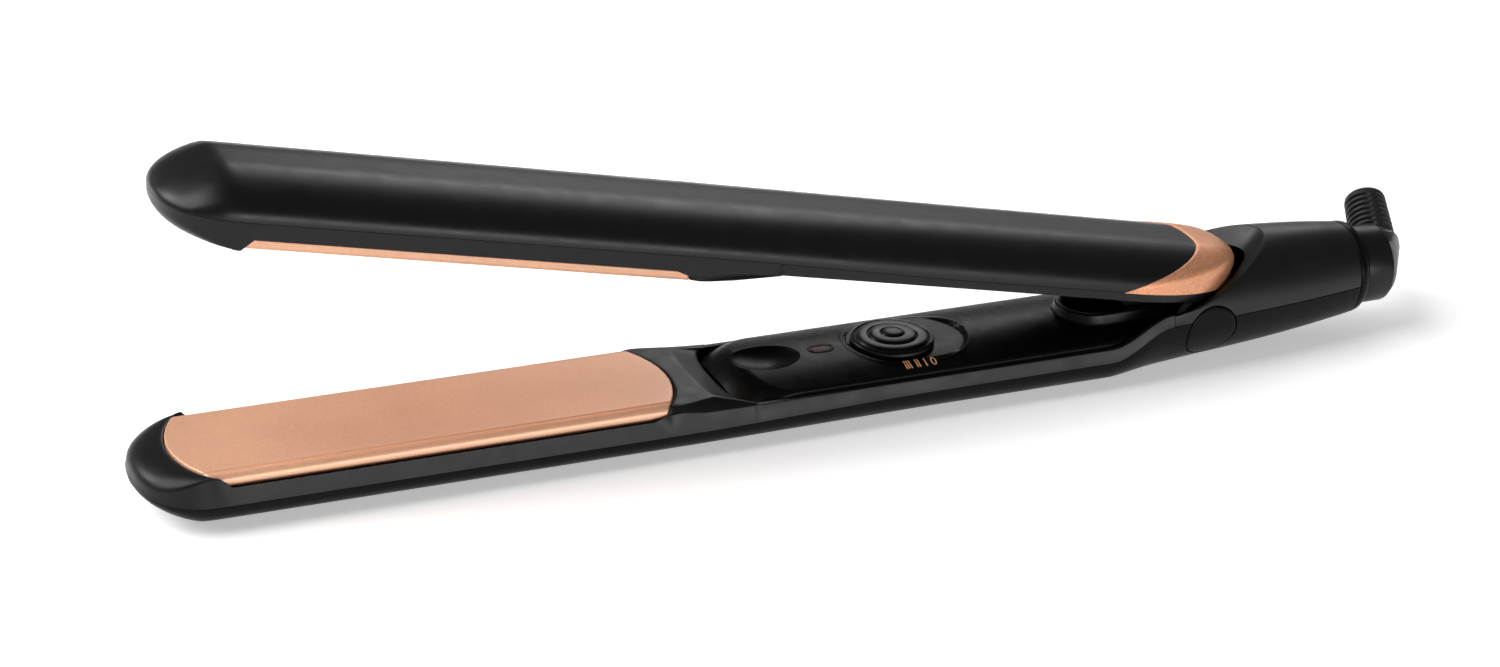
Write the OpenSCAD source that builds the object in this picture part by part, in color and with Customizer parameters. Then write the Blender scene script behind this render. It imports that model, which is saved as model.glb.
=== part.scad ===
// Flat iron (hair straightener): two hinged arms with floating hot plates and a swivelling cord outlet.
// Millimetres, +Z up. The origin is the middle of the resting strip under the lower arm.
// +X runs from the nose to the cord outlet, and the upper arm stands open.

/* [Hot plates] */
// Width of a plate's flat face
plate_flat_w = 25.2; // [22:0.1:26]
// Length of a plate's flat face along its straight sides
plate_flat_l = 91.2; // [80:0.1:105]
// How far a plate's rounded ends stand out past its straight sides
plate_end_rise = 5; // [3.5:0.1:6]
// Width of the sloped lip along each side of a plate
plate_lip_w = 1.6; // [1:0.1:1.8]
// Drop of the sloped lip along each side of a plate
plate_lip_h = 2.2; // [1.5:0.1:2.6]
// Thickness of a plate
plate_t = 3.2; // [2.9:0.1:3.6]
// Gap left between the plates when the arms are shut
plate_gap = 0.3; // [0.2:0.05:0.6]
// Travel of a plate into its arm
plate_float = 0.8; // [0.4:0.1:1]
// Side clearance of a plate in its frame
plate_fit = 0.25; // [0.15:0.05:0.3]

/* [Arms] */
// Width of an arm over the plates
arm_w = 31.6; // [31:0.1:34]
// Width of an arm over the handle
grip_w = 30.8; // [30.2:0.1:33]
// Height of the lower arm from the meeting plane of the plates to its outside
arm_h = 12.3; // [12:0.1:14.5]
// Height of the upper arm from the meeting plane of the plates to its outside
upper_h = 13.6; // [12.6:0.1:15]
// Depth of the shell's edge below the meeting plane, beside the plates
edge_d = 6.3; // [5.8:0.1:6.8]
// Depth of the shell's edge below the meeting plane, in the handle
grip_edge_d = 5.4; // [5:0.1:5.8]
// Depth of the frame's rails beside the plates
rail_d = 2.3; // [1.8:0.1:2.8]
// Depth of the lower frame's rails in the handle
grip_rail_d = 2.6; // [2.4:0.1:3.2]
// Depth of the upper frame's rails in the handle
upper_rail_d = 3.5; // [3:0.1:3.8]
// Depth of the frame's nose and land next to a plate's ends
land_d = 0.5; // [0.3:0.1:0.9]
// Length of the nose ahead of a plate's straight sides
nose_l = 12.5; // [11:0.1:14]
// Length over which the nose rounds off in plan
nose_round = 15; // [12:0.1:18]
// Depth of the nose's foremost point below the meeting plane
nose_tip_d = 4.9; // [4.2:0.1:5.4]
// Length of the sloping face on the back of the nose
nose_face_l = 11; // [9:0.1:12]
// Depth of that face at the tip, below the meeting plane
nose_face_d = 6; // [5.6:0.1:6.8]
// Wall of the shells
wall = 1.6; // [1.2:0.1:2]
// Width of the flat strip along the crown of each shell
rest_w = 11; // [8:0.5:13]

/* [Handle] */
// Length of the land between a plate's straight sides and the slope down to the handle
land_l = 6.5; // [6:0.1:9]
// Length of the slope from the land down to the handle
slope_l = 9.3; // [7:0.1:10]
// Distance from the plates' straight sides to the hinge pin
grip_l = 121.9; // [116:0.1:135]
// Rounding length of the upper arm's tail in plan
tail_round = 31; // [26:0.1:34]
// How far the upper arm's tail reaches past the hinge pin when shut
tail_reach = 8; // [7:0.1:8.6]
// Length of the metal tail trim along its middle
trim_l = 10.8; // [8:0.1:13]
// Rise of the trim's foot from its horns to its middle
trim_rise = 1.2; // [0:0.1:2]
// Thickness of the rails around the handle covers
grip_rail_t = 1.7; // [1.4:0.1:2]
// How far the inner cover sits inside its rails
cover_set = 0.2; // [0.1:0.05:0.4]
// Gap between a cover and the frame around it
cover_fit = 0.12; // [0.05:0.01:0.2]
// Wall of the control deck and the inner cover
cover_t = 1.5; // [1.2:0.1:1.8]

/* [Controls] */
// Height of the control deck's middle above the meeting plane
deck_top = 0.2; // [0:0.05:0.5]
// How far the control deck falls from its middle to its edges
deck_crown = 1.9; // [1.2:0.1:2.1]
// Rise of the control deck's rounded front
deck_front_rise = 4; // [2:0.1:6]
// Length of the thumb dimple
dimple_l = 14.6; // [10:0.1:16]
// Width of the thumb dimple
dimple_w = 11.4; // [8:0.1:13]
// Depth of the thumb dimple
dimple_d = 0.9; // [0.4:0.1:1]
// Length of the indicator window
window_l = 5.3; // [3:0.1:7]
// Width of the indicator window
window_w = 1.6; // [1:0.1:2.4]
// Diameter of the sliding knob
knob_d = 17.4; // [14:0.1:18]
// Travel of the sliding knob
knob_travel = 6; // [4:0.1:7]
// Height of the knob's middle above the floor of its recess
knob_h = 2.1; // [1.6:0.1:2.3]
// Clearance around the sliding knob
knob_fit = 0.2; // [0.1:0.05:0.3]
// Depth of the floor of the knob's recess below the deck's middle
recess_d = 0.6; // [0.4:0.1:0.9]
// Thickness of the circuit board
board_t = 1.2; // [0.8:0.1:1.6]

/* [Hinge] */
// Angle at which the upper arm stands open
open_angle = 12.1; // [10:0.1:13]
// Depth of the hinge pin below the meeting plane
pivot_d = 2.4; // [1.8:0.1:2.6]
// Diameter of the hinge pin
pin_d = 4; // [3:0.1:5]
// Radial running clearance of the hinge
pin_fit = 0.05; // [0.02:0.01:0.1]
// Diameter of the round caps over the pin's ends
cap_d = 11.9; // [11:0.1:13]
// Thickness of the round caps
cap_t = 2.6; // [2.2:0.1:3]
// Width of the upper arm's hinge neck
neck_w = 9; // [7:0.1:10]
// Outside diameter of the hinge knuckle
knuckle_d = 10; // [8.5:0.1:11]
// Play of the neck in its well
well_fit = 1.2; // [0.8:0.1:2]
// Wall of the raised collar around the well
collar_t = 1.5; // [1:0.1:2]
// Height of the collar above the deck's middle
collar_h = 1.7; // [1:0.1:1.9]
// Wire diameter of the opening spring
spring_wire = 1; // [0.8:0.1:1.2]

/* [Tail housing] */
// Distance from the hinge pin to the end of the tail housing
tail_l = 38.5; // [34:0.1:46]
// Distance ahead of the hinge pin at which the underside starts to rise
tail_rise = 20; // [14:0.5:26]
// Diameter of the tail housing at its end
tail_end_d = 20; // [19:0.1:22]
// Height of the tail housing's axis above the meeting plane
tail_axis_h = 1.3; // [0.5:0.1:2]
// Height of the tail cover's crown above the meeting plane near the hinge
tail_crown_h = 13.4; // [13:0.1:14.5]
// Height of the parting line above the meeting plane
parting_h = 0.7; // [0.3:0.1:1]
// How far the tail cover's front edge starts ahead of the hinge pin
cradle_start = 9.5; // [8:0.1:11]
// How far behind the hinge pin the tail cover's crown starts
cradle_reach = 18; // [17:0.1:21]
// Length of the sloped lip around the cradle
cradle_lip = 4.5; // [3:0.1:5]
// Length of the end collar
end_collar_l = 3; // [2:0.1:5]

/* [Cord outlet] */
// Diameter of the swivelling elbow
elbow_d = 16.8; // [16:0.1:17.6]
// Length of the elbow behind the end collar
elbow_l = 8.6; // [8:0.1:11]
// Diameter of the elbow's journal
journal_d = 12; // [11:0.1:13]
// Radial running clearance of the journal
journal_fit = 0.08; // [0.03:0.01:0.1]
// Angle between the boot and the swivel axis
boot_angle = 74; // [65:1:85]
// Turn of the boot about the swivel axis, up from the level
boot_turn = 29.6; // [0:0.1:60]
// Distance from the swivel axis to the flat on which the boot stands
boot_start = 5; // [4.5:0.1:5.5]
// Distance from the swivel axis to the boot's end
boot_reach = 17.4; // [16:0.1:22]
// Diameter of the boot at its root
boot_root_d = 10; // [9.8:0.1:10.6]
// Diameter of the boot at its end
boot_end_d = 9; // [8.8:0.1:9.8]
// Diameter of the cord bore
cord_bore_d = 6.4; // [5:0.1:6.6]
// Number of ribs on the boot
boot_ribs = 7; // [4:1:9]

/* [Hidden] */
$fn = 64;

// Stations along the arms, counted from the front of the plates' straight sides
plate_half = plate_flat_w / 2 + plate_lip_w;
nose_x = -nose_l;
nose_bend_x = nose_round - nose_l;
land_x = plate_flat_l;
slope_x = land_x + land_l;
deck_x = slope_x + slope_l;
pivot_x = plate_flat_l + grip_l;
pivot_z = -pivot_d;
rise_x = pivot_x - tail_rise;
tail_x = pivot_x + tail_l;
rest_mid = rise_x / 2;
tail_r = tail_end_d / 2;
tail_bottom_d = tail_r - tail_axis_h;
tail_top_h = tail_r + tail_axis_h;
ramp_end_x = pivot_x - cradle_start;
ramp_l = 14;
ramp_start_x = ramp_end_x - ramp_l;
grip_half = grip_w / 2;
deck_half = grip_half - grip_rail_t - cover_fit;
upper_tail_x = pivot_x + tail_reach;
plate_end_r = (pow(plate_half, 2) + pow(plate_end_rise, 2)) / (2 * plate_end_rise);

// Shape exponents and mesh density
nose_power = 2.5;
slope_power = 1.25;
crown_power = 2.2;
tail_power = 2.2;
cradle_power = 0.45;
dome_power = 5;
side_steps = 8;
eps = 0.01;
shut_gap = 0.4;

function ease(a, b, x) = let (t = min(1, max(0, (x - a) / (b - a)))) t * t * (3 - 2 * t);
function mix(a, b, t) = a + (b - a) * t;
function quarter(u) = sqrt(max(0, 1 - u * u));
function bulge(u, p) = pow(max(0, 1 - pow(abs(u), p)), 1 / p);

// Share of the tail's run, squared, which shapes its sides and its underside
function tail_run(x) = pow(max(0, x - rise_x) / (tail_x - rise_x), 2);
// Half width of the nose and the arm at station x
function arm_half(x) =
  mix(arm_w / 2, grip_half, ease(land_x, pivot_x - 60, x)) *
  (x < nose_bend_x ? bulge((nose_bend_x - x) / nose_round, nose_power) : 1);
function lower_half(x) = mix(arm_half(x), tail_r, tail_run(x));
// Depth of the shell's outside below the meeting plane, which a sloping face cuts back at the nose
function crown_depth(x, full) =
  let (face_x = nose_x + nose_face_l)
  x < face_x ? mix(nose_face_d, full, bulge((x - face_x) / nose_face_l, slope_power)) : full;
function lower_depth(x) = mix(crown_depth(x, arm_h), tail_bottom_d, tail_run(x));
// Depth of the edge where a shell meets its frame
function nose_edge(x) = x < 0 ? mix(nose_tip_d, edge_d, quarter(x / nose_l)) : edge_d;
function shell_edge(x) = mix(nose_edge(x), grip_edge_d, ease(land_x, pivot_x - 60, x));
function lower_edge(x) = mix(shell_edge(x), -parting_h, ease(ramp_start_x, ramp_end_x, x));
// Depth of the rails beside the plates and the handle covers
function rail(x) = mix(rail_d, grip_rail_d, ease(slope_x, deck_x, x));
function lower_rail(x) = mix(rail(x), shut_gap - upper_rail_d, ease(ramp_start_x, ramp_end_x, x));
// Height of the tail cover's crown
function tail_crown(x) =
  mix(tail_crown_h, tail_top_h, pow(max(0, x - ramp_end_x) / (tail_x - ramp_end_x), 3));
// Front edge of the tail cover at a share of its half width; its horns stay below the shut upper arm
horn_share = quarter((upper_rail_d - shut_gap - parting_h) / (tail_crown_h - parting_h));
function cradle_x(s) =
  mix(ramp_end_x, pivot_x + cradle_reach, pow(max(0, 1 - pow(s / horn_share, 2)), cradle_power));
// Rear outline of the upper arm and front edge of its trim, at distance y from the middle
function upper_end(y) = upper_tail_x - tail_round * (1 - bulge(y / grip_half, tail_power));
function trim_front(y) =
  upper_tail_x - trim_l - (tail_round - trim_l + 1.5) * (1 - bulge(y / grip_half, tail_power));

// Shares of the half width at which a crown is sampled, from one edge over the flat strip to the other
function crown_shares(flat) =
  let (side = [for (j = [0 : side_steps]) sin(mix(90, asin(flat), j / side_steps))])
  concat([for (s = side) -s], [-flat / 2, 0, flat / 2], [for (j = [0 : side_steps]) side[side_steps - j]]);
function crown_fall(s, flat, power) = min(1, bulge(s, power) / bulge(flat, power));
function flat_share(x) = mix(rest_w / arm_w, 0.12, ease(rise_x, pivot_x + 10, x));

// Closed skin between an outer and an inner grid of points with the same rows and columns.
// A looped skin joins its last row to its first instead of ending in two caps, and its diagonals
// mirror each other about the middle of the arm, so that none crosses the opening.
module skin(outer, inner, looped = false) {
  rows = len(outer);
  cols = len(outer[0]);
  n = rows * cols;
  last = looped ? rows - 1 : rows - 2;
  points = concat([for (r = outer) each r], [for (r = inner) each r]);
  function at(i, j) = (i % rows) * cols + j;
  function quad(a, b, c, d) =
    looped && points[a][1] > 0 ? [[a, d, b], [b, d, c]] : [[a, c, b], [a, d, c]];
  caps = looped ? [] : concat(
    [for (j = [0 : cols - 2])
      each quad(at(0, j), n + at(0, j), n + at(0, j + 1), at(0, j + 1))],
    [for (j = [0 : cols - 2])
      each quad(at(rows - 1, j), at(rows - 1, j + 1), n + at(rows - 1, j + 1), n + at(rows - 1, j))]
  );
  faces = concat(
    [for (i = [0 : last], j = [0 : cols - 2])
      each quad(at(i, j), at(i, j + 1), at(i + 1, j + 1), at(i + 1, j))],
    [for (i = [0 : last], j = [0 : cols - 2])
      each quad(n + at(i, j), n + at(i + 1, j), n + at(i + 1, j + 1), n + at(i, j + 1))],
    [for (i = [0 : last])
      each quad(at(i, 0), at(i + 1, 0), n + at(i + 1, 0), n + at(i, 0))],
    [for (i = [0 : last])
      each quad(at(i + 1, cols - 1), at(i, cols - 1), n + at(i, cols - 1), n + at(i + 1, cols - 1))],
    caps
  );
  polyhedron(points, faces, convexity = 8);
}

// Placement of the lower arm, and of the upper arm as the lower one's mirror image turned open
module lower_side() {
  translate([-rest_mid, 0, arm_h]) children();
}
module swung_open() {
  translate([pivot_x, 0, pivot_z]) rotate([0, open_angle, 0]) translate([-pivot_x, 0, -pivot_z]) children();
}
module upper_side() {
  lower_side() swung_open() mirror([0, 0, 1]) children();
}
// A cylinder across the arm, and one along it
module across(d, y0, y1) {
  translate([0, y0, 0]) rotate([-90, 0, 0]) cylinder(d = d, h = y1 - y0);
}
module along(d, x0, x1) {
  translate([x0, 0, 0]) rotate([0, 90, 0]) cylinder(d = d, h = x1 - x0);
}

// Stations along the nose and the arm, shared by the shells and the frames
arc_steps = 14;
corner_steps = 4;
corner_x = deck_x - cover_fit + deck_front_rise;
function nose_station(a) = nose_bend_x - nose_round * bulge(sin(a), nose_power);
nose_rows = [nose_station(6), for (k = [1 : arc_steps / 2]) nose_station(180 * k / arc_steps)];
plate_rows = [nose_bend_x + 1.5, land_x / 2, land_x - 2];
land_rows = [for (k = [0 : corner_steps]) mix(land_x, corner_x, k / corner_steps)];
grip_rows = [for (k = [1 : 4]) mix(corner_x, ramp_start_x, k / 4)];
ramp_rows = [for (k = [1 : 4]) mix(ramp_start_x, ramp_end_x, k / 4)];
tail_rows = [for (k = [1 : 8]) mix(ramp_end_x, tail_x, k / 8)];
arm_rows = concat(nose_rows, plate_rows, land_rows, grip_rows);

// One crown section of a shell, offset inwards by inset, with its hollow closed near the nose
least_rise = 0.1;
function hollow_share(x) = ease(nose_x + 3 * wall, nose_x + 7 * wall, x);
function crown_row(x, half, edge, depth, flat, inset, power) =
  let (
    fill = inset == 0 ? 1 : hollow_share(x),
    rise = max(least_rise, (depth - inset - edge) * fill)
  )
  [for (s = crown_shares(flat))
    [x, s * max(half / 2, half - inset), -edge - rise * crown_fall(s, flat, power)]];
function lower_row(x, inset) =
  crown_row(x, lower_half(x), lower_edge(x), lower_depth(x), flat_share(x), inset,
    mix(crown_power, 2, ease(rise_x, pivot_x, x)));

module cap_holes() {
  translate([pivot_x, 0, pivot_z]) for (side = [0, 1]) mirror([0, side, 0]) {
    across(cap_d + 2 * cover_fit, cap_y - cover_fit, arm_w);
    across(bush_d + 2 * cover_fit, neck_w / 2, arm_w);
  }
}
module lower_shell() {
  rows = concat(arm_rows, ramp_rows, tail_rows);
  color("#17181a") lower_side() difference() {
    skin([for (x = rows) lower_row(x, 0)], [for (x = rows) lower_row(x, wall)]);
    cap_holes();
  }
}

// Frame of an arm: a ring of nose, rails and land around the plate, drawn from the opening outwards.
// Each row of the ring holds a point on the opening, a point on the outline, their depths,
// and whether the face between them is rounded.
module plate_outline(grow) {
  front = plate_arc(grow);
  n = len(front) - 1;
  polygon(concat(front, [for (k = [0 : n]) [plate_flat_l - front[n - k][0], front[n - k][1]]]));
}
// Rounded front end of a plate, grown by a clearance, from the near side to the far side
function plate_arc(grow, steps = arc_steps) =
  let (
    half = plate_half + grow,
    reach = plate_end_rise + grow,
    r = (half * half + reach * reach) / (2 * reach),
    sweep = asin(half / r)
  )
  [for (k = [0 : steps]) let (a = mix(-sweep, sweep, k / steps)) [r - reach - r * cos(a), r * sin(a)]];
nose_ring = [
  let (open = plate_arc(plate_fit))
  for (k = [0 : arc_steps])
    let (
      a = mix(-90, 90, k / arc_steps),
      y = arm_w / 2 * sin(a),
      corner = pow(abs(sin(a)), 8)
    )
    [open[k], [nose_station(a), y],
      mix(land_d, rail_d, pow(abs(sin(a)), 30)), mix(nose_tip_d - 0.6, rail_d, corner), true]
];
function side_ring(xs, sign) =
  [for (x = xs) [[x, sign * (plate_half + plate_fit)], [x, sign * arm_w / 2], rail_d, rail_d, false]];
bump_d = 1.75;
front_steps = 12;
land_steps = 2 * corner_steps + front_steps + 2;
function land_outline(k) =
  let (
    front = deck_front(cover_fit, front_steps),
    m = land_steps - k,
    x = mix(land_x, corner_x, min(k, m) / corner_steps)
  )
  k <= corner_steps ? [x, arm_half(x)]
  : m <= corner_steps ? [x, -arm_half(x)]
  : front[land_steps - corner_steps - 1 - k];
function land_ring(depth) = [
  let (open = plate_arc(plate_fit, land_steps))
  for (k = [0 : land_steps])
    let (
      p = land_outline(k),
      start = pow(abs(1 - 2 * k / land_steps), 30)
    )
    [[plate_flat_l - open[land_steps - k][0], open[land_steps - k][1]], p,
      mix(land_d, rail_d, start), mix(bump_d, depth, ease(land_x, slope_x + 2, p[0])), false]
];
function ring_rows(depth) = concat(nose_ring, side_ring(plate_rows, 1), land_ring(depth),
  side_ring([for (k = [len(plate_rows) - 1 : -1 : 0]) plate_rows[k]], -1));
ring_runs = [0, 0.4, 0.75, 0.93, 1];
function ring_xy(row, t) = mix(row[0], row[1], t);
function ring_fall(row, t) = mix(row[2], row[3], row[4] ? 1 - quarter(t) : pow(t, 1.2));
function ring_top(row) = [for (t = ring_runs) let (p = ring_xy(row, t)) [p[0], p[1], -ring_fall(row, t)]];
function ring_edge(row) =
  [for (t = ring_runs) let (p = ring_xy(row, t)) [p[0], p[1], -shell_edge(row[1][0])]];
module plate_frame(depth) {
  rows = ring_rows(depth);
  skin([for (r = rows) ring_edge(r)], [for (r = rows) ring_top(r)], looped = true);
}
// Rounded front edge of the handle covers, from the near side to the far side
function deck_front(grow, steps = 12) =
  [for (k = [0 : steps])
    let (s = sin(mix(-90, 90, k / steps)))
    [deck_x - grow + deck_front_rise * (1 - bulge(s, 2.6)), s * (deck_half + grow)]];

module lower_frame() {
  xs = concat([corner_x], grip_rows, ramp_rows);
  inner = deck_half + cover_fit;
  color("#1f2022") lower_side() {
    plate_frame(grip_rail_d);
    for (side = [-1, 1])
      mirror([0, side < 0 ? 1 : 0, 0])
        skin([for (x = xs) [[x, inner, -lower_edge(x)], [x, lower_half(x), -lower_edge(x)]]],
          [for (x = xs) [[x, inner, -lower_rail(x)], [x, lower_half(x), -lower_rail(x)]]]);
  }
}

// Control deck: a crowned cover with a dimple, a window, a knob recess and the hinge well
deck_end_x = ramp_end_x + 2;
deck_floor = -deck_top + deck_crown + 2.6;
knob_set = 39;
window_set = 16;
dimple_set = 28.4;
knob_x = deck_x + knob_set;
window_x = knob_x - window_set;
dimple_x = knob_x - dimple_set;
slot_w = 3.4;
board_x0 = dimple_x - 5;
board_x1 = knob_x + knob_travel + 14;
board_half = deck_half - cover_t - 1.2;
board_top = -deck_floor - 1.6;
post_d = 4.4;
post_set = 3;
screw_d = 1.8;
well_half = neck_w / 2 + well_fit;
well_l = 27.6;
well_x = pivot_x - well_l;
deck_rear = [[ramp_start_x, deck_half], [deck_end_x, deck_half - 2], [deck_end_x, 2 - deck_half],
  [ramp_start_x, -deck_half]];
function deck_z(y) = deck_top - deck_crown * pow(y / deck_half, 2);
module crown_block(half, drop, x0, x1) {
  steps = 20;
  top = [for (k = [0 : steps]) let (y = mix(-half, half, k / steps)) [deck_z(y) - drop, y]];
  translate([x0, 0, 0]) rotate([0, 90, 0]) linear_extrude(x1 - x0)
    polygon(concat([for (p = top) [-p[0], p[1]]], [[deck_floor, half], [deck_floor, -half]]));
}
module deck_form(inset) {
  intersection() {
    crown_block(deck_half - inset, inset, deck_x - 1, deck_end_x - inset);
    translate([0, 0, -arm_h]) linear_extrude(2 * arm_h)
      polygon(concat(deck_front(-inset), [for (p = deck_rear) [p[0] - inset, p[1] - sign(p[1]) * inset]]));
  }
}
module stadium(x0, x1, d, z0, z1) {
  translate([0, 0, z0]) linear_extrude(z1 - z0) {
    translate([x0, 0]) circle(d = d);
    translate([x1, 0]) circle(d = d);
    translate([x0, -d / 2]) square([x1 - x0, d]);
  }
}
module well_outline(grow) {
  translate([well_x + well_half, 0]) circle(r = well_half + grow);
  translate([well_x + well_half, -well_half - grow]) square([arm_w, 2 * (well_half + grow)]);
}
module thumb_dimple() {
  r = (pow(dimple_w / 2, 2) + pow(dimple_d, 2)) / (2 * dimple_d);
  shift = (dimple_l - dimple_w) / 2;
  translate([dimple_x, 0, deck_top + r - dimple_d]) {
    along(2 * r, -shift, shift);
    for (x = [-shift, shift]) translate([x, 0, 0]) sphere(r = r);
  }
}
module board_places() {
  for (x = [board_x0 + post_set, board_x1 - post_set], y = [-1, 1])
    translate([x, y * (board_half - post_set), 0]) children();
}
module control_deck() {
  color("#101113") lower_side() difference() {
    union() {
      difference() {
        deck_form(0);
        translate([0, 0, -eps]) deck_form(cover_t);
      }
      translate([0, 0, -deck_floor]) linear_extrude(deck_floor + deck_top + collar_h) intersection() {
        well_outline(collar_t);
        translate([0, -arm_w]) square([deck_end_x, 2 * arm_w]);
      }
      board_places() translate([0, 0, board_top])
        cylinder(d = post_d, h = deck_z(board_half) - cover_t - board_top + 0.8);
      translate([0, 0, deck_top - recess_d - cover_t])
        stadium(knob_x, knob_x + knob_travel, knob_d + 2 * knob_fit, 0, cover_t);
      translate([dimple_x, 0, deck_top - dimple_d - cover_t]) cylinder(d = dimple_w, h = cover_t);
    }
    thumb_dimple();
    stadium(knob_x, knob_x + knob_travel, knob_d + 2 * knob_fit, deck_top - recess_d, arm_h);
    stadium(knob_x, knob_x + knob_travel, slot_w + 2 * knob_fit, -arm_h, arm_h);
    stadium(window_x - window_l / 2 + window_w / 2, window_x + window_l / 2 - window_w / 2,
      window_w + 2 * pin_fit, -arm_h, arm_h);
    translate([0, 0, -arm_h]) linear_extrude(2 * arm_h) well_outline(0);
    board_places() translate([0, 0, board_top - eps]) cylinder(d = screw_d, h = post_set);
  }
}

// Circuit board and what it carries
module control_board() {
  color("#2d5a34") lower_side() difference() {
    translate([board_x0, -board_half, board_top - board_t])
      cube([board_x1 - board_x0, 2 * board_half, board_t]);
    board_places() translate([0, 0, board_top - board_t - eps])
      cylinder(d = screw_d + 0.6, h = board_t + 2 * eps);
  }
}
module board_screws() {
  color("silver") lower_side() board_places() {
    translate([0, 0, board_top - board_t - 1.2]) cylinder(d = post_d - 0.6, h = 1.2);
    translate([0, 0, board_top - board_t - eps]) cylinder(d = screw_d - 2 * pin_fit, h = board_t + 2.6);
  }
}
switch_h = 2.2;
module slide_switch() {
  color("#3a3a3c") lower_side() difference() {
    translate([knob_x - 6, -4, board_top]) cube([knob_travel + 12, 8, switch_h]);
    stadium(knob_x, knob_x + knob_travel, slot_w + 2 * knob_fit, board_top + 0.6, arm_h);
  }
}
led_d = 3;
led_foot_h = 1.6;
led_h = led_foot_h + led_d / 2;
module indicator_led() {
  color("#b02018") lower_side() translate([window_x, 0, board_top]) {
    cylinder(d = led_d, h = led_foot_h);
    translate([0, 0, led_foot_h]) sphere(d = led_d);
  }
}
module indicator_window() {
  color("#6e1612") lower_side()
    stadium(window_x - window_l / 2 + window_w / 2, window_x + window_l / 2 - window_w / 2,
      window_w, board_top + led_h + 0.3, deck_top - 0.15);
}

// Sliding knob: a ringed disc on a stem that reaches the switch
module slide_knob() {
  floor_z = deck_top - recess_d + 0.15;
  r = knob_d / 2;
  knob_rings = 4;
  groove_w = 0.2;
  groove_d = 0.5;
  color("#141517") lower_side() translate([knob_x, 0, 0]) {
    translate([0, 0, floor_z]) rotate_extrude() polygon(concat([[0, 0], [r, 0]],
      [for (k = [0 : knob_rings - 1])
        let (
          outer = r * (1 - k / knob_rings),
          inner = r * (1 - (k + 1) / knob_rings),
          top = knob_h * (k + 2) / (knob_rings + 1)
        )
        each [[outer - groove_w, top - groove_d], [outer - groove_w - 0.1, top - 0.1],
          [inner + groove_w, top], [inner, top - groove_d / 2]]]));
    translate([0, 0, board_top + 0.8]) cylinder(d = slot_w, h = floor_z - board_top - 0.8);
  }
}

// Tail cover: the upper half of the housing behind the hinge, with a sloped lip around the arm's tail
cover_shares = [for (k = [-15 : 15]) sin(k * 6)];
function cover_point(s, t, inset, lip) =
  let (
    x = mix(cradle_x(s) - lip * (1 - s * s), tail_x, t),
    half = mix(grip_half, tail_r, tail_run(x)) - inset,
    crown = tail_crown(x) - inset
  )
  [x, s * half, parting_h + (crown - parting_h) * quarter(s)];
module tail_cover() {
  runs = [0, 0.12, 0.3, 0.5, 0.7, 0.85, 1];
  color("#1b1c1e") lower_side() difference() {
    skin([for (t = runs) [for (s = cover_shares) cover_point(-s, t, 0, 0)]],
      [for (t = runs) [for (s = cover_shares)
        cover_point(-s, t, wall * (mix(0.5, 1, quarter(s)) + (1 - t) * (1 - s * s)), cradle_lip)]]);
    cap_holes();
  }
}

// Ring that holds the two halves of the tail together and carries the swivel
socket_l = 7;
cup_l = 5;
flange_r = journal_d / 2 + 1;
cup_r = flange_r + 0.4;
spigot_r = tail_r - wall - 2 * cover_fit;
module end_collar() {
  color("#121315") lower_side() translate([tail_x, 0, tail_axis_h]) rotate([0, 90, 0]) rotate_extrude()
    polygon([[journal_d / 2 + journal_fit, -socket_l], [cup_r, -socket_l], [cup_r, -socket_l - cup_l],
      [spigot_r, -socket_l - cup_l], [spigot_r, cover_fit], [tail_r, cover_fit],
      [tail_r - 0.2, end_collar_l * 0.6], [elbow_d / 2, end_collar_l],
      [journal_d / 2 + journal_fit, end_collar_l]]);
}

// Hinge: a pin through the neck's knuckle, carried by two round caps in the sides of the tail
cap_y = grip_half - cap_t;
pin_half = grip_half - 2;
boss_y = pin_half - 2.4;
side_r = grip_half - 0.5;
bush_d = pin_d + 2.4;
module hinge_place() {
  lower_side() translate([pivot_x, 0, pivot_z]) children();
}
module hinge_pin() {
  color("silver") hinge_place() across(pin_d, -pin_half, pin_half);
}
module hinge_caps() {
  color("#1a1b1d") hinge_place() for (side = [0, 1]) mirror([0, side, 0]) difference() {
    union() {
      intersection() {
        across(cap_d, cap_y, grip_half);
        translate([0, 0, pivot_d + parting_h]) along(2 * side_r, -cap_d, cap_d);
      }
      across(bush_d, boss_y, cap_y + eps);
    }
    across(pin_d + 2 * pin_fit, 0, pin_half + eps);
  }
}
module hinge_bushes() {
  color("#c9c4b4") hinge_place() for (side = [0, 1]) mirror([0, side, 0]) difference() {
    across(bush_d, neck_w / 2 + 2 * cover_fit, boss_y - cover_fit);
    across(pin_d + 2 * pin_fit, 0, arm_w);
  }
}

// Opening spring: wire wound round one bush, with a leg to the neck and a leg to the tail
spring_r = bush_d / 2 + 0.3 + spring_wire / 2;
spring_turns = 3;
neck_leg = 6.5;
tail_leg = 4.5;
spring_pitch = spring_wire + 0.5;
spring_y = neck_w / 2 + 0.6 + spring_wire / 2;
module wire(path, d) {
  sides = 6;
  n = len(path);
  rings = [for (i = [0 : n - 1])
    let (
      ahead = path[min(n - 1, i + 1)] - path[max(0, i - 1)],
      t = ahead / norm(ahead),
      u = cross(t, [0.13, 0.95, 0.28]),
      v = u / norm(u),
      w = cross(t, v)
    )
    [for (k = [0 : sides - 1]) path[i] + d / 2 * (cos(60 * k) * v + sin(60 * k) * w)]];
  polyhedron([for (r = rings) each r], concat(
    [[for (k = [0 : sides - 1]) k]],
    [for (i = [0 : n - 2], k = [0 : sides - 1]) let (a = i * sides + k, b = i * sides + (k + 1) % sides)
      each [[a, a + sides, b], [b, a + sides, b + sides]]],
    [[for (k = [0 : sides - 1]) n * sides - 1 - k]]
  ), convexity = 6);
}
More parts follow.
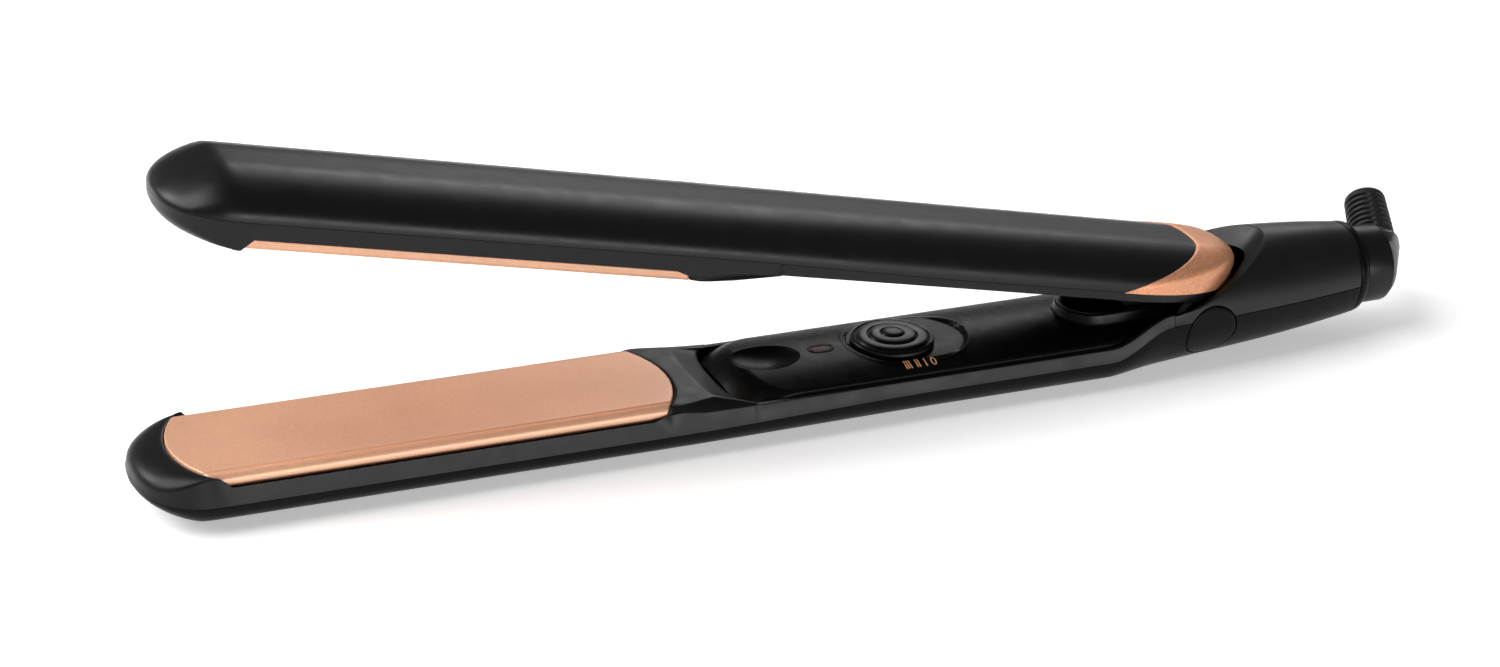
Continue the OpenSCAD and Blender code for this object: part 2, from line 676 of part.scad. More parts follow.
module opening_spring() {
  steps = 36;
  coil = [for (k = [0 : steps])
    let (a = 90 - 360 * spring_turns * k / steps)
    [spring_r * cos(a), spring_y + spring_pitch * spring_turns * k / steps, spring_r * sin(a)]];
  first = coil[0] - [neck_leg, 0, 0];
  last = coil[steps] + [tail_leg, 0, 0];
  color("#b8b8b4") hinge_place() wire(concat([first], coil, [last]), spring_wire);
}

// Neck of the upper arm: a web from the knuckle to the inner cover
cover_z = upper_rail_d + cover_set;
neck_l = 20;
neck_toe_h = 3.2;
neck_screw_l = 3.6;
module hinge_neck() {
  color("#202124") lower_side() swung_open() difference() {
    union() {
      translate([pivot_x, 0, pivot_z]) across(knuckle_d, -neck_w / 2, neck_w / 2);
      translate([0, neck_w / 2, 0]) rotate([90, 0, 0]) linear_extrude(neck_w)
        polygon([[pivot_x - neck_l, cover_z], [pivot_x - neck_l, cover_z - neck_toe_h],
          [pivot_x - neck_l * 0.7, pivot_z], [pivot_x, pivot_z - knuckle_d / 2],
          [pivot_x, pivot_z + knuckle_d / 2], [pivot_x - neck_l * 0.15, cover_z]]);
    }
    translate([pivot_x, 0, pivot_z]) across(pin_d + 2 * pin_fit, -arm_w, arm_w);
    neck_screw_places() translate([0, 0, cover_z - neck_screw_l - 0.4]) cylinder(d = screw_d, h = arm_h);
  }
}
module neck_screw_places() {
  for (x = [neck_l * 0.85, neck_l * 0.4]) translate([pivot_x - x, 0, 0]) children();
}
module neck_screws() {
  color("silver") lower_side() swung_open() neck_screw_places() {
    translate([0, 0, cover_z - neck_screw_l])
      cylinder(d = screw_d - 2 * pin_fit, h = neck_screw_l + cover_t + eps);
    translate([0, 0, cover_z + cover_t]) cylinder(d = post_d - 0.6, h = 1.2);
  }
}

// Upper arm's shell, trim, frame and inner cover
function upper_row(x, inset) =
  crown_row(x, arm_half(x), shell_edge(x), crown_depth(x, upper_h), rest_w / arm_w, inset, crown_power);
function upper_last_row(inset) = trim_row(0, inset);
upper_rows = [for (x = arm_rows) if (x < trim_front(grip_half) - 2) x];
module upper_shell() {
  color("#17181a") upper_side()
    skin(concat([for (x = upper_rows) upper_row(x, 0)], [upper_last_row(0)]),
      concat([for (x = upper_rows) upper_row(x, wall)], [upper_last_row(wall)]));
}
function trim_foot(s, t) = grip_edge_d + trim_rise * (1 - s * s) * t;
function trim_z(s, t, inset) =
  let (foot = trim_foot(s, t))
  -foot - (upper_h - inset - foot) * crown_fall(s, rest_w / arm_w, crown_power) * bulge(t, dome_power);
trim_shares = crown_shares(rest_w / arm_w);
function trim_row(t, inset) =
  [for (s = trim_shares)
    let (y = s * (grip_half - inset))
    [mix(trim_front(s * grip_half), upper_end(s * grip_half) - inset, t), y, trim_z(s, t, inset)]];
module tail_trim() {
  runs = [0, 0.3, 0.55, 0.75, 0.88, 0.95, 0.985, 1];
  color("#c98a66") upper_side()
    skin([for (t = runs) trim_row(t, 0)], [for (t = runs) trim_row(t, wall)]);
}
// Plan outline of the upper arm's tail, drawn in by inset
function tail_outline(inset) =
  [for (k = [0 : 24])
    let (y = sin(mix(-88, 88, k / 24)) * grip_half)
    [upper_end(y) - inset, y * (grip_half - inset) / grip_half]];
module upper_frame() {
  rails = [corner_x, for (x = upper_rows) if (x > corner_x) x];
  path = concat(
    [for (x = rails) [x, 1]],
    [for (s = trim_shares) [0, -s]],
    [for (k = [len(rails) - 1 : -1 : 0]) [rails[k], -1]]);
  function tail_point(p, inset) =
    p[0] > 0 ? [p[0], p[1] * (arm_half(p[0]) - inset)]
    : [upper_end(p[1] * grip_half) - inset, p[1] * (grip_half - inset)];
  function rail_row(p, z) = [for (inset = [grip_rail_t, 0]) concat(tail_point(p, inset), [z(p)])];
  color("#1f2022") upper_side() {
    plate_frame(upper_rail_d);
    skin([for (p = path) rail_row(p, function (p) p[0] > 0 ? -shell_edge(p[0]) : -trim_foot(p[1], 1))],
      [for (p = path) rail_row(p, function (p) -upper_rail_d)]);
  }
}
module inner_cover() {
  lip = grip_rail_t + cover_fit;
  color("#141517") upper_side() difference() {
    translate([0, 0, -cover_z - cover_t]) linear_extrude(cover_t)
      polygon(concat(deck_front(0), [for (p = tail_outline(lip)) if (p[0] > deck_x + 20) [p[0], -p[1]]]));
    neck_screw_places() translate([0, 0, -arm_h]) cylinder(d = screw_d + 2 * pin_fit, h = arm_h);
  }
}

// What lies behind a plate, drawn for the lower arm and mirrored for the upper one
heater_l = 58;
heater_w = 15;
heater_t = 2.4;
pad_l = 8;
pad_w = 18;
pad_t = 1.8;
plate_back = -plate_gap / 2 - plate_t;
heater_x = (plate_flat_l - heater_l) / 2;
pad_top = plate_back - plate_float - 0.05;
heat_floor = plate_back - heater_t - plate_float - 0.4;
fuse_d = 2.4;
module plate() {
  half = plate_flat_w / 2;
  profile = [[-plate_half, -plate_t], [-plate_half, -plate_lip_h], [-half, 0], [half, 0],
    [plate_half, -plate_lip_h], [plate_half, -plate_t]];
  translate([0, 0, -plate_gap / 2]) intersection() {
    translate([-plate_end_rise - 1, 0, 0]) rotate([90, 0, 90])
      linear_extrude(plate_flat_l + 2 * plate_end_rise + 2) polygon(profile);
    translate([0, 0, -arm_h]) linear_extrude(2 * arm_h) plate_outline(0);
  }
}
module heater() {
  translate([heater_x, -heater_w / 2, plate_back - heater_t]) cube([heater_l, heater_w, heater_t]);
}
module thermal_fuse() {
  translate([plate_flat_l / 2, heater_w / 2 + fuse_d / 2 + 0.3, plate_back - fuse_d / 2 - 0.05]) {
    along(fuse_d, -5, 5);
    along(0.8, -9, 9);
  }
}
module pad_places() {
  for (x = [heater_x - pad_l - 3, heater_x + heater_l + 3]) translate([x, 0, 0]) children();
}
module cushions() {
  pad_places() translate([0, -pad_w / 2, pad_top - pad_t]) cube([pad_l, pad_w, pad_t]);
}
module insulator(height) {
  keel_w = rest_w * 0.6;
  floor_z = wall - height;
  x0 = heater_x - pad_l - 4;
  translate([x0, -pad_w / 2 - 1, heat_floor - 1.2]) cube([plate_flat_l - 2 * x0, pad_w + 2, 1.2]);
  translate([x0, -keel_w / 2, floor_z])
    cube([plate_flat_l - 2 * x0, keel_w, heat_floor - 1.2 - floor_z + eps]);
  pad_places() translate([0, -pad_w / 2, heat_floor - eps])
    cube([pad_l, pad_w, pad_top - pad_t - heat_floor + eps]);
}
module lower_plate() { color("#cf9370") lower_side() plate(); }
module upper_plate() { color("#cf9370") upper_side() plate(); }
module lower_heater() { color("#e8e4da") lower_side() heater(); }
module upper_heater() { color("#e8e4da") upper_side() heater(); }
module lower_thermal_fuse() { color("#d8c9a0") lower_side() thermal_fuse(); }
module upper_thermal_fuse() { color("#d8c9a0") upper_side() thermal_fuse(); }
module lower_cushions() { color("#b5503c") lower_side() cushions(); }
module upper_cushions() { color("#b5503c") upper_side() cushions(); }
module lower_insulator() { color("#8f8a7c") lower_side() insulator(arm_h); }
module upper_insulator() { color("#8f8a7c") upper_side() insulator(upper_h); }

// Cord outlet: an elbow that turns in the end collar, with a ribbed boot
elbow_x = tail_x + end_collar_l + 0.25;
boot_x = elbow_x + elbow_l * 0.8;
boot_neck_d = boot_root_d - 1.7;
boot_seat_h = 2;
module outlet_place() {
  lower_side() translate([0, 0, tail_axis_h]) children();
}
module boot_axis() {
  translate([boot_x, 0, 0]) rotate([boot_turn - 90, 0, 0]) rotate([0, 90 - boot_angle, 0]) children();
}
module swivel_elbow() {
  color("#191a1c") outlet_place() difference() {
    union() {
      hull($fn = 48) {
        along(elbow_d, elbow_x, elbow_x + elbow_l * 0.3);
        along(elbow_d * 0.86, elbow_x, elbow_x + elbow_l * 0.7);
        along(elbow_d * 0.55, elbow_x, elbow_x + elbow_l);
        boot_axis() translate([0, 0, boot_start - boot_seat_h])
          cylinder(d = boot_root_d + 1, h = boot_seat_h);
      }
      along(journal_d, tail_x - socket_l + 1, elbow_x + eps);
      along(2 * flange_r, tail_x - socket_l - 2, tail_x - socket_l - 0.4);
      along(journal_d - 2, tail_x - socket_l - 1, tail_x - socket_l + 2);
    }
    boot_axis() cylinder(d = boot_neck_d + 2 * pin_fit, h = arm_w);
    boot_axis() translate([0, 0, boot_start]) cylinder(d = boot_root_d + 2 * cover_fit, h = arm_w);
  }
}
module strain_relief() {
  rib_zone = boot_reach - boot_start - 2.6;
  pitch = rib_zone / boot_ribs;
  groove = 0.5;
  root_r = boot_root_d / 2;
  end_r = boot_end_d / 2;
  function boot_r(z) = mix(root_r, end_r, (z - boot_start) / (boot_reach - boot_start));
  outline = concat(
    [[cord_bore_d / 2, 0.6], [boot_neck_d / 2, 0.6], [boot_neck_d / 2, boot_start], [root_r, boot_start]],
    [for (k = [0 : boot_ribs - 1]) let (z = boot_start + 1.5 + k * pitch)
      each [[boot_r(z), z], [boot_r(z) - groove, z + 0.3 * pitch], [boot_r(z) - groove, z + 0.5 * pitch],
        [boot_r(z), z + 0.8 * pitch]]],
    [[end_r, boot_reach - 0.7], [end_r - 0.7, boot_reach], [cord_bore_d / 2, boot_reach]]
  );
  color("#131416") outlet_place() boot_axis() rotate_extrude() polygon(outline);
}
// Slip contacts between the tail and the elbow
contact_t = 1.4;
contact_bore_d = 5;
contact_pin_d = 3.6;
module swivel_contacts() {
  color("#c9a24a") outlet_place() translate([tail_x - socket_l - cup_l, 0, 0]) difference() {
    along(2 * cup_r, 0, contact_t);
    along(contact_bore_d, -eps, contact_t + eps);
  }
}
module elbow_contacts() {
  color("#d4b060") outlet_place() along(contact_pin_d, tail_x - socket_l - cup_l, tail_x - socket_l - 2);
}

lower_shell();
lower_frame();
control_deck();
tail_cover();
end_collar();
hinge_pin();
hinge_caps();
hinge_bushes();
opening_spring();
control_board();
slide_switch();
indicator_led();
indicator_window();
board_screws();
lower_insulator();
lower_cushions();
swivel_contacts();
lower_plate();
lower_heater();
lower_thermal_fuse();
upper_shell();
tail_trim();
upper_frame();
inner_cover();
hinge_neck();
neck_screws();
upper_insulator();
upper_cushions();
upper_plate();
upper_heater();
upper_thermal_fuse();
slide_knob();
swivel_elbow();
strain_relief();
elbow_contacts();
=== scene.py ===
"""Looks of a flat iron that lies open on its lower arm: shells, hot plates, controls, tail and cord outlet.

It lies on a pale studio floor, and the camera is the one that was fitted to the photograph.
"""
import math

import bmesh
import bpy
from mathutils import Matrix, Vector


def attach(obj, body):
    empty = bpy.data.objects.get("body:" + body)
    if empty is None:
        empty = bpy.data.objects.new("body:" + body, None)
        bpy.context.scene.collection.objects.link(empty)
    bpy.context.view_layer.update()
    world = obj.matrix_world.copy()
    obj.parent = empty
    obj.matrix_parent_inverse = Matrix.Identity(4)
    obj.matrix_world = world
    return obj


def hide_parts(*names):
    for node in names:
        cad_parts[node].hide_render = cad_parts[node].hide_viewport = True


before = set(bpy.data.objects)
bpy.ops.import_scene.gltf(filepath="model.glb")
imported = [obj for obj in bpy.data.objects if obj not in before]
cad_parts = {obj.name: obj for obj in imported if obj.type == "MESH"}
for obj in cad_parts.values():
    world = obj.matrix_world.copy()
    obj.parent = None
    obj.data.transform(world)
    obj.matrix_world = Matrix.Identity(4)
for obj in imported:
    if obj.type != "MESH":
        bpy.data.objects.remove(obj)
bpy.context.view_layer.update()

# Sizes in millimetres, in an arm's own frame: x from the front of the plates' straight sides,
# z from the plane in which the plates meet
PLATE_HALF, PLATE_L, PLATE_RISE = 12.6, 91.2, 5.0
LIP_W, LIP_H, PLATE_T, PLATE_GAP, PLATE_FIT, UNDERCUT = 1.6, 2.2, 3.2, 0.3, 0.25, 0.7
ARM_W, GRIP_W, ARM_H, UPPER_H, WALL, REST_W, TAPER_STOP = 31.6, 30.8, 12.3, 13.6, 1.6, 11.0, 60.0
EDGE_D, GRIP_EDGE_D, BEVEL, DRAFT, TAIL_FLAT = 6.3, 5.4, 0.1, 0.2, 0.12
RAIL_D, GRIP_RAIL_D, UPPER_RAIL_D, GRIP_RAIL_T = 2.3, 2.6, 3.5, 1.7
LAND_D, LAND_L, SLOPE_L, GRIP_L, BUMP_D = 0.5, 6.5, 9.3, 121.9, 1.75
NOSE_L, NOSE_ROUND, NOSE_TIP_D, NOSE_FACE_L, NOSE_FACE_D = 12.5, 15.0, 4.9, 11.0, 6.0
COVER_FIT, DECK_TOP, DECK_CROWN, DECK_RISE, DECK_PAST = 0.12, 0.2, 1.9, 4.0, 2.0
OPEN_ANGLE, PIVOT_D, CAP_D, CAP_GAP, CAP_PROUD, CAP_FOOT = 12.1, 2.4, 11.9, 0.22, 0.12, 5.2
NECK_W, WELL_FIT, WELL_SET, COLLAR_T, COLLAR_H = 9.0, 1.2, 27.6, 1.5, 1.7
TAIL_ROUND, TAIL_REACH, TRIM_L, TRIM_RISE, TRIM_TIP = 31.0, 8.0, 10.8, 1.2, 1.5
TAIL_L, TAIL_RISE, TAIL_D, TAIL_AXIS, TAIL_CROWN, PARTING = 38.5, 20.0, 20.0, 1.3, 13.4, 0.7
CRADLE_START, CRADLE_REACH, CRADLE_LIP, RAMP_L, SHUT_GAP = 9.5, 18.0, 4.5, 14.0, 0.4
COLLAR_L, ELBOW_FIT, ELBOW_D, ELBOW_L, BOOT_SHARE = 3.0, 0.25, 16.8, 8.6, 0.8
BOOT_ANGLE, BOOT_TURN, BOOT_START, BOOT_REACH = 74.0, 29.6, 5.0, 17.4
BOOT_ROOT_D, BOOT_END_D, CORD_D, BOOT_RIBS = 10.0, 9.0, 6.4, 7
KNOB_SET, KNOB_TRAVEL, KNOB_SINK, DIMPLE_SET, WINDOW_SET = 39.0, 6.0, 0.45, 28.4, 16.0

# Exponents of the rounded outlines
NOSE_POWER, SLOPE_POWER, CROWN_POWER, TAIL_POWER = 2.5, 1.25, 2.2, 2.2
CRADLE_POWER, DOME_POWER, DECK_POWER, FRONT_POWER = 0.45, 5.0, 2.6, 1.6

# Places that follow from these sizes
PLATE_SIDE = PLATE_HALF + LIP_W
LAND_X = PLATE_L
SLOPE_X = LAND_X + LAND_L
DECK_X = SLOPE_X + SLOPE_L
PIVOT_X, PIVOT_Z = PLATE_L + GRIP_L, -PIVOT_D
TAPER_END = PIVOT_X - TAPER_STOP
RISE_X, TAIL_X = PIVOT_X - TAIL_RISE, PIVOT_X + TAIL_L
REST_X, ARM_FLAT = RISE_X / 2, REST_W / ARM_W
TAIL_R, GRIP_HALF = TAIL_D / 2, GRIP_W / 2
RAMP_END = PIVOT_X - CRADLE_START
RAMP_START = RAMP_END - RAMP_L
DECK_HALF = GRIP_HALF - GRIP_RAIL_T - COVER_FIT
DECK_END = RAMP_END + DECK_PAST
CORNER_X = DECK_X - COVER_FIT + DECK_RISE
UPPER_END = PIVOT_X + TAIL_REACH
NOSE_BEND = NOSE_ROUND - NOSE_L
KNOB_X, KNOB_Z = DECK_X + KNOB_SET, DECK_TOP - KNOB_SINK
WINDOW_X, DIMPLE_X = KNOB_X - WINDOW_SET, KNOB_X - DIMPLE_SET
WELL_HALF, WELL_X = NECK_W / 2 + WELL_FIT, PIVOT_X - WELL_SET
ELBOW_X = TAIL_X + COLLAR_L + ELBOW_FIT
BOOT_X = ELBOW_X + ELBOW_L * BOOT_SHARE


def mix(a, b, t):
    return a + (b - a) * t


def ease(a, b, x):
    t = min(1, max(0, (x - a) / (b - a)))
    return t * t * (3 - 2 * t)


def quarter(u):
    return math.sqrt(max(0, 1 - u * u))


def bulge(u, p):
    return max(0, 1 - abs(u) ** p) ** (1 / p)


def blend(p, q, t):
    return tuple(mix(a, b, t) for a, b in zip(p, q))


def spread(a, b, n):
    return [mix(a, b, k / n) for k in range(n + 1)]


def turns(steps):
    return [2 * math.pi * k / steps for k in range(steps)]


# Outlines and depths along the arms
def tail_run(x):
    return (max(0, x - RISE_X) / (TAIL_X - RISE_X)) ** 2


def arm_half(x):
    nose = bulge((NOSE_BEND - x) / NOSE_ROUND, NOSE_POWER) if x < NOSE_BEND else 1
    return mix(ARM_W / 2, GRIP_HALF, ease(LAND_X, TAPER_END, x)) * nose


def lower_half(x):
    return mix(arm_half(x), TAIL_R, tail_run(x))


def crown_depth(x, full):
    run = x + NOSE_L - NOSE_FACE_L
    return mix(NOSE_FACE_D, full, bulge(run / NOSE_FACE_L, SLOPE_POWER)) if run < 0 else full


def lower_depth(x):
    return mix(crown_depth(x, ARM_H), TAIL_R - TAIL_AXIS, tail_run(x))


def shell_edge(x):
    nose = mix(NOSE_TIP_D, EDGE_D, quarter(x / NOSE_L)) if x < 0 else EDGE_D
    return mix(nose, GRIP_EDGE_D, ease(LAND_X, TAPER_END, x))


def lower_edge(x):
    return mix(shell_edge(x), -PARTING, ease(RAMP_START, RAMP_END, x))


def lower_rail(x):
    rail = mix(RAIL_D, GRIP_RAIL_D, ease(SLOPE_X, DECK_X, x))
    return mix(rail, SHUT_GAP - UPPER_RAIL_D, ease(RAMP_START, RAMP_END, x))


def tail_crown(x):
    return mix(TAIL_CROWN, TAIL_R + TAIL_AXIS, (max(0, x - RAMP_END) / (TAIL_X - RAMP_END)) ** 3)


def cradle_x(s):
    horn = quarter((UPPER_RAIL_D - SHUT_GAP - PARTING) / (TAIL_CROWN - PARTING))
    return mix(RAMP_END, PIVOT_X + CRADLE_REACH, max(0, 1 - (s / horn) ** 2) ** CRADLE_POWER)


def upper_end(y):
    return UPPER_END - TAIL_ROUND * (1 - bulge(y / GRIP_HALF, TAIL_POWER))


def trim_front(y):
    return UPPER_END - TRIM_L - (TAIL_ROUND - TRIM_L + TRIM_TIP) * (1 - bulge(y / GRIP_HALF, TAIL_POWER))


def crown_shares(flat, steps=22):
    side = [math.sin(mix(math.pi / 2, math.asin(flat), j / steps)) for j in range(steps + 1)]
    return [-s for s in side] + [-flat / 2, 0, flat / 2] + side[::-1]


def crown_fall(s, flat, power):
    return min(1, bulge(s, power) / bulge(flat, power))


def nose_station(a):
    return NOSE_BEND - NOSE_ROUND * bulge(math.sin(math.radians(a)), NOSE_POWER)


# Placement in the part's frame, in metres
def lower(p):
    return ((p[0] - REST_X) / 1000, p[1] / 1000, (p[2] + ARM_H) / 1000)


def swung(p):
    c, s = math.cos(math.radians(OPEN_ANGLE)), math.sin(math.radians(OPEN_ANGLE))
    dx, dz = p[0] - PIVOT_X, p[2] - PIVOT_Z
    return lower((PIVOT_X + dx * c + dz * s, p[1], PIVOT_Z - dx * s + dz * c))


def upper(p):
    return swung((p[0], p[1], -p[2]))


# Mesh making
SHARP = 34


def piece_of(name, work, sharp):
    """Makes an object of a bmesh, smooth but for the edges that bend more than sharp degrees."""
    bmesh.ops.recalc_face_normals(work, faces=work.faces)
    mesh = bpy.data.meshes.new(name)
    work.to_mesh(mesh)
    work.free()
    for face in mesh.polygons:
        face.use_smooth = True
    mesh.set_sharp_from_angle(angle=math.radians(sharp))
    piece = bpy.data.objects.new(name, mesh)
    bpy.context.scene.collection.objects.link(piece)
    return piece


def build(name, points, faces, place, sharp=SHARP):
    draft = bpy.data.meshes.new("draft")
    draft.from_pydata([place(p) for p in points], [], faces)
    work = bmesh.new()
    work.from_mesh(draft)
    bpy.data.meshes.remove(draft)
    bmesh.ops.remove_doubles(work, verts=work.verts, dist=1e-7)
    return piece_of(name, work, sharp)


def quads(rows, cols, start=0, looped=False, ring=False):
    """Faces of a grid; looped joins the last row to the first, ring the last column to the first."""
    last_row = rows if looped else rows - 1
    last_col = cols if ring else cols - 1

    def at(i, j):
        return start + (i % rows) * cols + j % cols

    cells = [(i, j) for i in range(last_row) for j in range(last_col)]
    return [(at(i, j), at(i, j + 1), at(i + 1, j + 1), at(i + 1, j)) for i, j in cells]


def end_caps(rows, cols):
    return [tuple(range(cols)), tuple(range((rows - 1) * cols, rows * cols))]


def skin(name, outer, inner, place, looped=False, sharp=SHARP):
    """Closed wall between two grids of points with as many rows and columns."""
    rows, cols = len(outer), len(outer[0])
    n = rows * cols

    def at(i, j):
        return (i % rows) * cols + j

    faces = quads(rows, cols, 0, looped) + quads(rows, cols, n, looped)
    for i in range(rows if looped else rows - 1):
        for j in (0, cols - 1):
            faces.append((at(i, j), at(i + 1, j), n + at(i + 1, j), n + at(i, j)))
    if not looped:
        for i in (0, rows - 1):
            faces += [(at(i, j), at(i, j + 1), n + at(i, j + 1), n + at(i, j)) for j in range(cols - 1)]
    points = [p for row in outer for p in row] + [p for row in inner for p in row]
    return build(name, points, faces, place, sharp)


def circles(profile, segments):
    """Points of the circles that (radius, height) pairs describe about the z axis."""
    return [(r * math.cos(a), r * math.sin(a), h) for r, h in profile for a in turns(segments)]


def turned(name, profile, place, segments=96, sharp=SHARP):
    """Solid turned from a profile that starts and ends close to the axis."""
    rows = len(profile)
    faces = quads(rows, segments, 0, False, True) + end_caps(rows, segments)
    return build(name, circles(profile, segments), faces, place, sharp)


def settle(piece):
    graph = bpy.context.evaluated_depsgraph_get()
    done = bpy.data.meshes.new_from_object(piece.evaluated_get(graph))
    piece.modifiers.clear()
    old = piece.data
    piece.data = done
    bpy.data.meshes.remove(old)


def cut(piece, tool):
    """Takes the tool out of the piece, and deletes the tool."""
    knife = piece.modifiers.new("cut", "BOOLEAN")
    knife.operation = "DIFFERENCE"
    knife.object = tool
    knife.solver = "EXACT"
    settle(piece)
    piece.data.set_sharp_from_angle(angle=math.radians(SHARP))
    bpy.data.objects.remove(tool)


# Materials; the noise scales are per metre
BLOTCHES, SHEEN, CLOUDS = 46, 240, 60


def nodes_of(name):
    mat = bpy.data.materials.new(name)
    mat.use_nodes = True
    tree = mat.node_tree
    shader = tree.nodes["Principled BSDF"]
    where = tree.nodes.new("ShaderNodeTexCoord")
    return mat, tree, shader, where.outputs["Object"]


def noise(tree, where, scale, detail=2.0, rough=0.5):
    tex = tree.nodes.new("ShaderNodeTexNoise")
    tex.inputs["Scale"].default_value = scale
    tex.inputs["Detail"].default_value = detail
    tex.inputs["Roughness"].default_value = rough
    tree.links.new(where, tex.inputs["Vector"])
    return tex.outputs["Fac"]


def ramp(tree, source, low, high, start=0.3, end=0.7):
    node = tree.nodes.new("ShaderNodeMapRange")
    node.inputs["From Min"].default_value = start
    node.inputs["From Max"].default_value = end
    node.inputs["To Min"].default_value = low
    node.inputs["To Max"].default_value = high
    tree.links.new(source, node.inputs["Value"])
    return node.outputs["Result"]


def tint(tree, source, dark, light):
    node = tree.nodes.new("ShaderNodeMix")
    node.data_type = "RGBA"
    tree.links.new(source, node.inputs["Factor"])
    node.inputs["A"].default_value = (*dark, 1)
    node.inputs["B"].default_value = (*light, 1)
    return node.outputs["Result"]


def relief(tree, shader, source, strength, depth_mm):
    node = tree.nodes.new("ShaderNodeBump")
    node.inputs["Strength"].default_value = strength
    node.inputs["Distance"].default_value = depth_mm / 1000
    tree.links.new(source, node.inputs["Height"])
    tree.links.new(node.outputs["Normal"], shader.inputs["Normal"])


def scaled(colour, k):
    return tuple(min(1, c * k) for c in colour)


def moulded(name, colour, rough, level=0.3, grain=3200, strength=0.25, depth=0.02, vary=0.18):
    """Moulded plastic: fine eggshell grain, slightly uneven colour and gloss."""
    mat, tree, shader, where = nodes_of(name)
    broad = noise(tree, where, BLOTCHES, 3)
    colours = tint(tree, broad, scaled(colour, 1 - vary), scaled(colour, 1 + vary))
    tree.links.new(colours, shader.inputs["Base Color"])
    gloss = ramp(tree, noise(tree, where, SHEEN, 3), rough - 0.04, rough + 0.05)
    tree.links.new(gloss, shader.inputs["Roughness"])
    shader.inputs["Specular IOR Level"].default_value = level
    relief(tree, shader, noise(tree, where, grain, 2, 0.6), strength, depth)
    return mat


def coated(name, colour, rough, flake, metal, strength=0.12, sparkle=0.14):
    """Satin coat with fine metal flakes."""
    mat, tree, shader, where = nodes_of(name)
    grain = noise(tree, where, flake, 3, 0.7)
    cloud = noise(tree, where, CLOUDS, 3)
    both = tree.nodes.new("ShaderNodeMath")
    both.operation = "MULTIPLY_ADD"
    both.inputs[1].default_value = 0.8
    tree.links.new(grain, both.inputs[0])
    tree.links.new(ramp(tree, cloud, 0.05, 0.15), both.inputs[2])
    shade = ramp(tree, both.outputs[0], 0, 1, 0.32, 0.68)
    colours = tint(tree, shade, scaled(colour, 1 - sparkle), scaled(colour, 1 + sparkle))
    tree.links.new(colours, shader.inputs["Base Color"])
    gloss = ramp(tree, grain, rough - 0.06, rough + 0.06)
    tree.links.new(gloss, shader.inputs["Roughness"])
    shader.inputs["Metallic"].default_value = metal
    relief(tree, shader, grain, strength, 0.012)
    return mat


def bright(name, colour, rough, scale=900):
    """Bare drawn or turned metal."""
    mat, tree, shader, where = nodes_of(name)
    marks = noise(tree, where, scale, 4, 0.6)
    colours = tint(tree, marks, scaled(colour, 0.86), scaled(colour, 1.08))
    tree.links.new(colours, shader.inputs["Base Color"])
    tree.links.new(ramp(tree, marks, rough - 0.08, rough + 0.1), shader.inputs["Roughness"])
    shader.inputs["Metallic"].default_value = 1.0
    relief(tree, shader, marks, 0.1, 0.01)
    return mat


SHELL = moulded("shell_black", (0.005, 0.0051, 0.0055), 0.33, 0.28, 2600, 0.22, 0.014)
# Darker, far less glossy copy of the shell's black for the lower shell, also used on the hinge caps: painted
# shade for the shade the lower side gets from the floor beneath it
SHELL_PAINTED_SHADE = moulded("shell_black_painted_shade", (0.0045, 0.0046, 0.005), 0.36, 0.08, 2600, 0.22, 0.014)
FRAME = moulded("frame_black", (0.0065, 0.0067, 0.0072), 0.34, 0.24, 2600, 0.2, 0.012)
# The control deck's black, darker and far less glossy than the shell's: partly the cover's own finish, partly
# painted shade for the shade under the upper arm
DECK_PAINTED_SHADE = moulded("deck_black", (0.0036, 0.0037, 0.004), 0.29, 0.075, 3000, 0.15, 0.01)
KNOB = moulded("knob_black", (0.0046, 0.0047, 0.005), 0.3, 0.25, 3000, 0.15, 0.01)
TAIL = moulded("tail_black", (0.005, 0.0051, 0.0055), 0.38, 0.36, 2600, 0.22, 0.014)
BOOT = moulded("boot_black", (0.006, 0.006, 0.0066), 0.48, 0.45, 1800, 0.25, 0.02)
PLATE = coated("plate_copper", (0.86, 0.475, 0.30), 0.36, 3400, 0.28)
TRIM = coated("trim_copper", (0.8, 0.355, 0.19), 0.38, 2600, 0.5, 0.1, 0.28)
MARKS = coated("mark_copper", (0.95, 0.47, 0.25), 0.45, 3800, 0.0, 0.05, 0.08)
RIM = moulded("window_rim_black", (0.003, 0.0026, 0.0026), 0.34, 0.04, 900, 0.03, 0.01, 0.12)
STEEL = bright("bare_steel", (0.60, 0.61, 0.63), 0.3)
BRASS = bright("contact_brass", (0.72, 0.52, 0.22), 0.3)
ACETAL = moulded("acetal", (0.70, 0.68, 0.62), 0.45, 0.5, 1500, 0.1, 0.01, 0.05)
BOARD = moulded("board_green", (0.03, 0.14, 0.05), 0.4, 0.5, 700, 0.2, 0.02, 0.25)
SWITCH = moulded("switch_grey", (0.06, 0.06, 0.065), 0.45, 0.5, 1500, 0.2, 0.02)
HEAT = moulded("heat_proof", (0.36, 0.34, 0.29), 0.6, 0.4, 900, 0.3, 0.03, 0.12)
SILICONE = moulded("silicone_red", (0.42, 0.12, 0.08), 0.6, 0.4, 1200, 0.2, 0.02, 0.1)
CERAMIC = moulded("ceramic_cream", (0.78, 0.75, 0.68), 0.5, 0.5, 1100, 0.2, 0.02, 0.06)
LAMP = moulded("lamp_red", (0.5, 0.03, 0.02), 0.15, 0.5, 500, 0.02, 0.01, 0.1)
LENS = moulded("lens_red", (0.11, 0.016, 0.015), 0.4, 0.15, 500, 0.02, 0.01, 0.15)


def dress(piece, mat, body, slot, *stands_for):
    piece.data.materials.clear()
    piece.data.materials.append(mat)
    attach(piece, body)
    if stands_for:
        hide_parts(*stands_for)
    return piece


# Shells
SLIVER, LEAST_RISE = 0.01, 0.1
SHELL_HOLE_Y, COVER_HOLE_Y, CUTTER_END = 9, 12.2, 20
NOSE_ANGLES = (3, 5, 7.5, 10, 13, 16, 20, 24, 28, 33, 38, 44, 50, 56, 62, 68, 74, 79, 84, 87, 90)


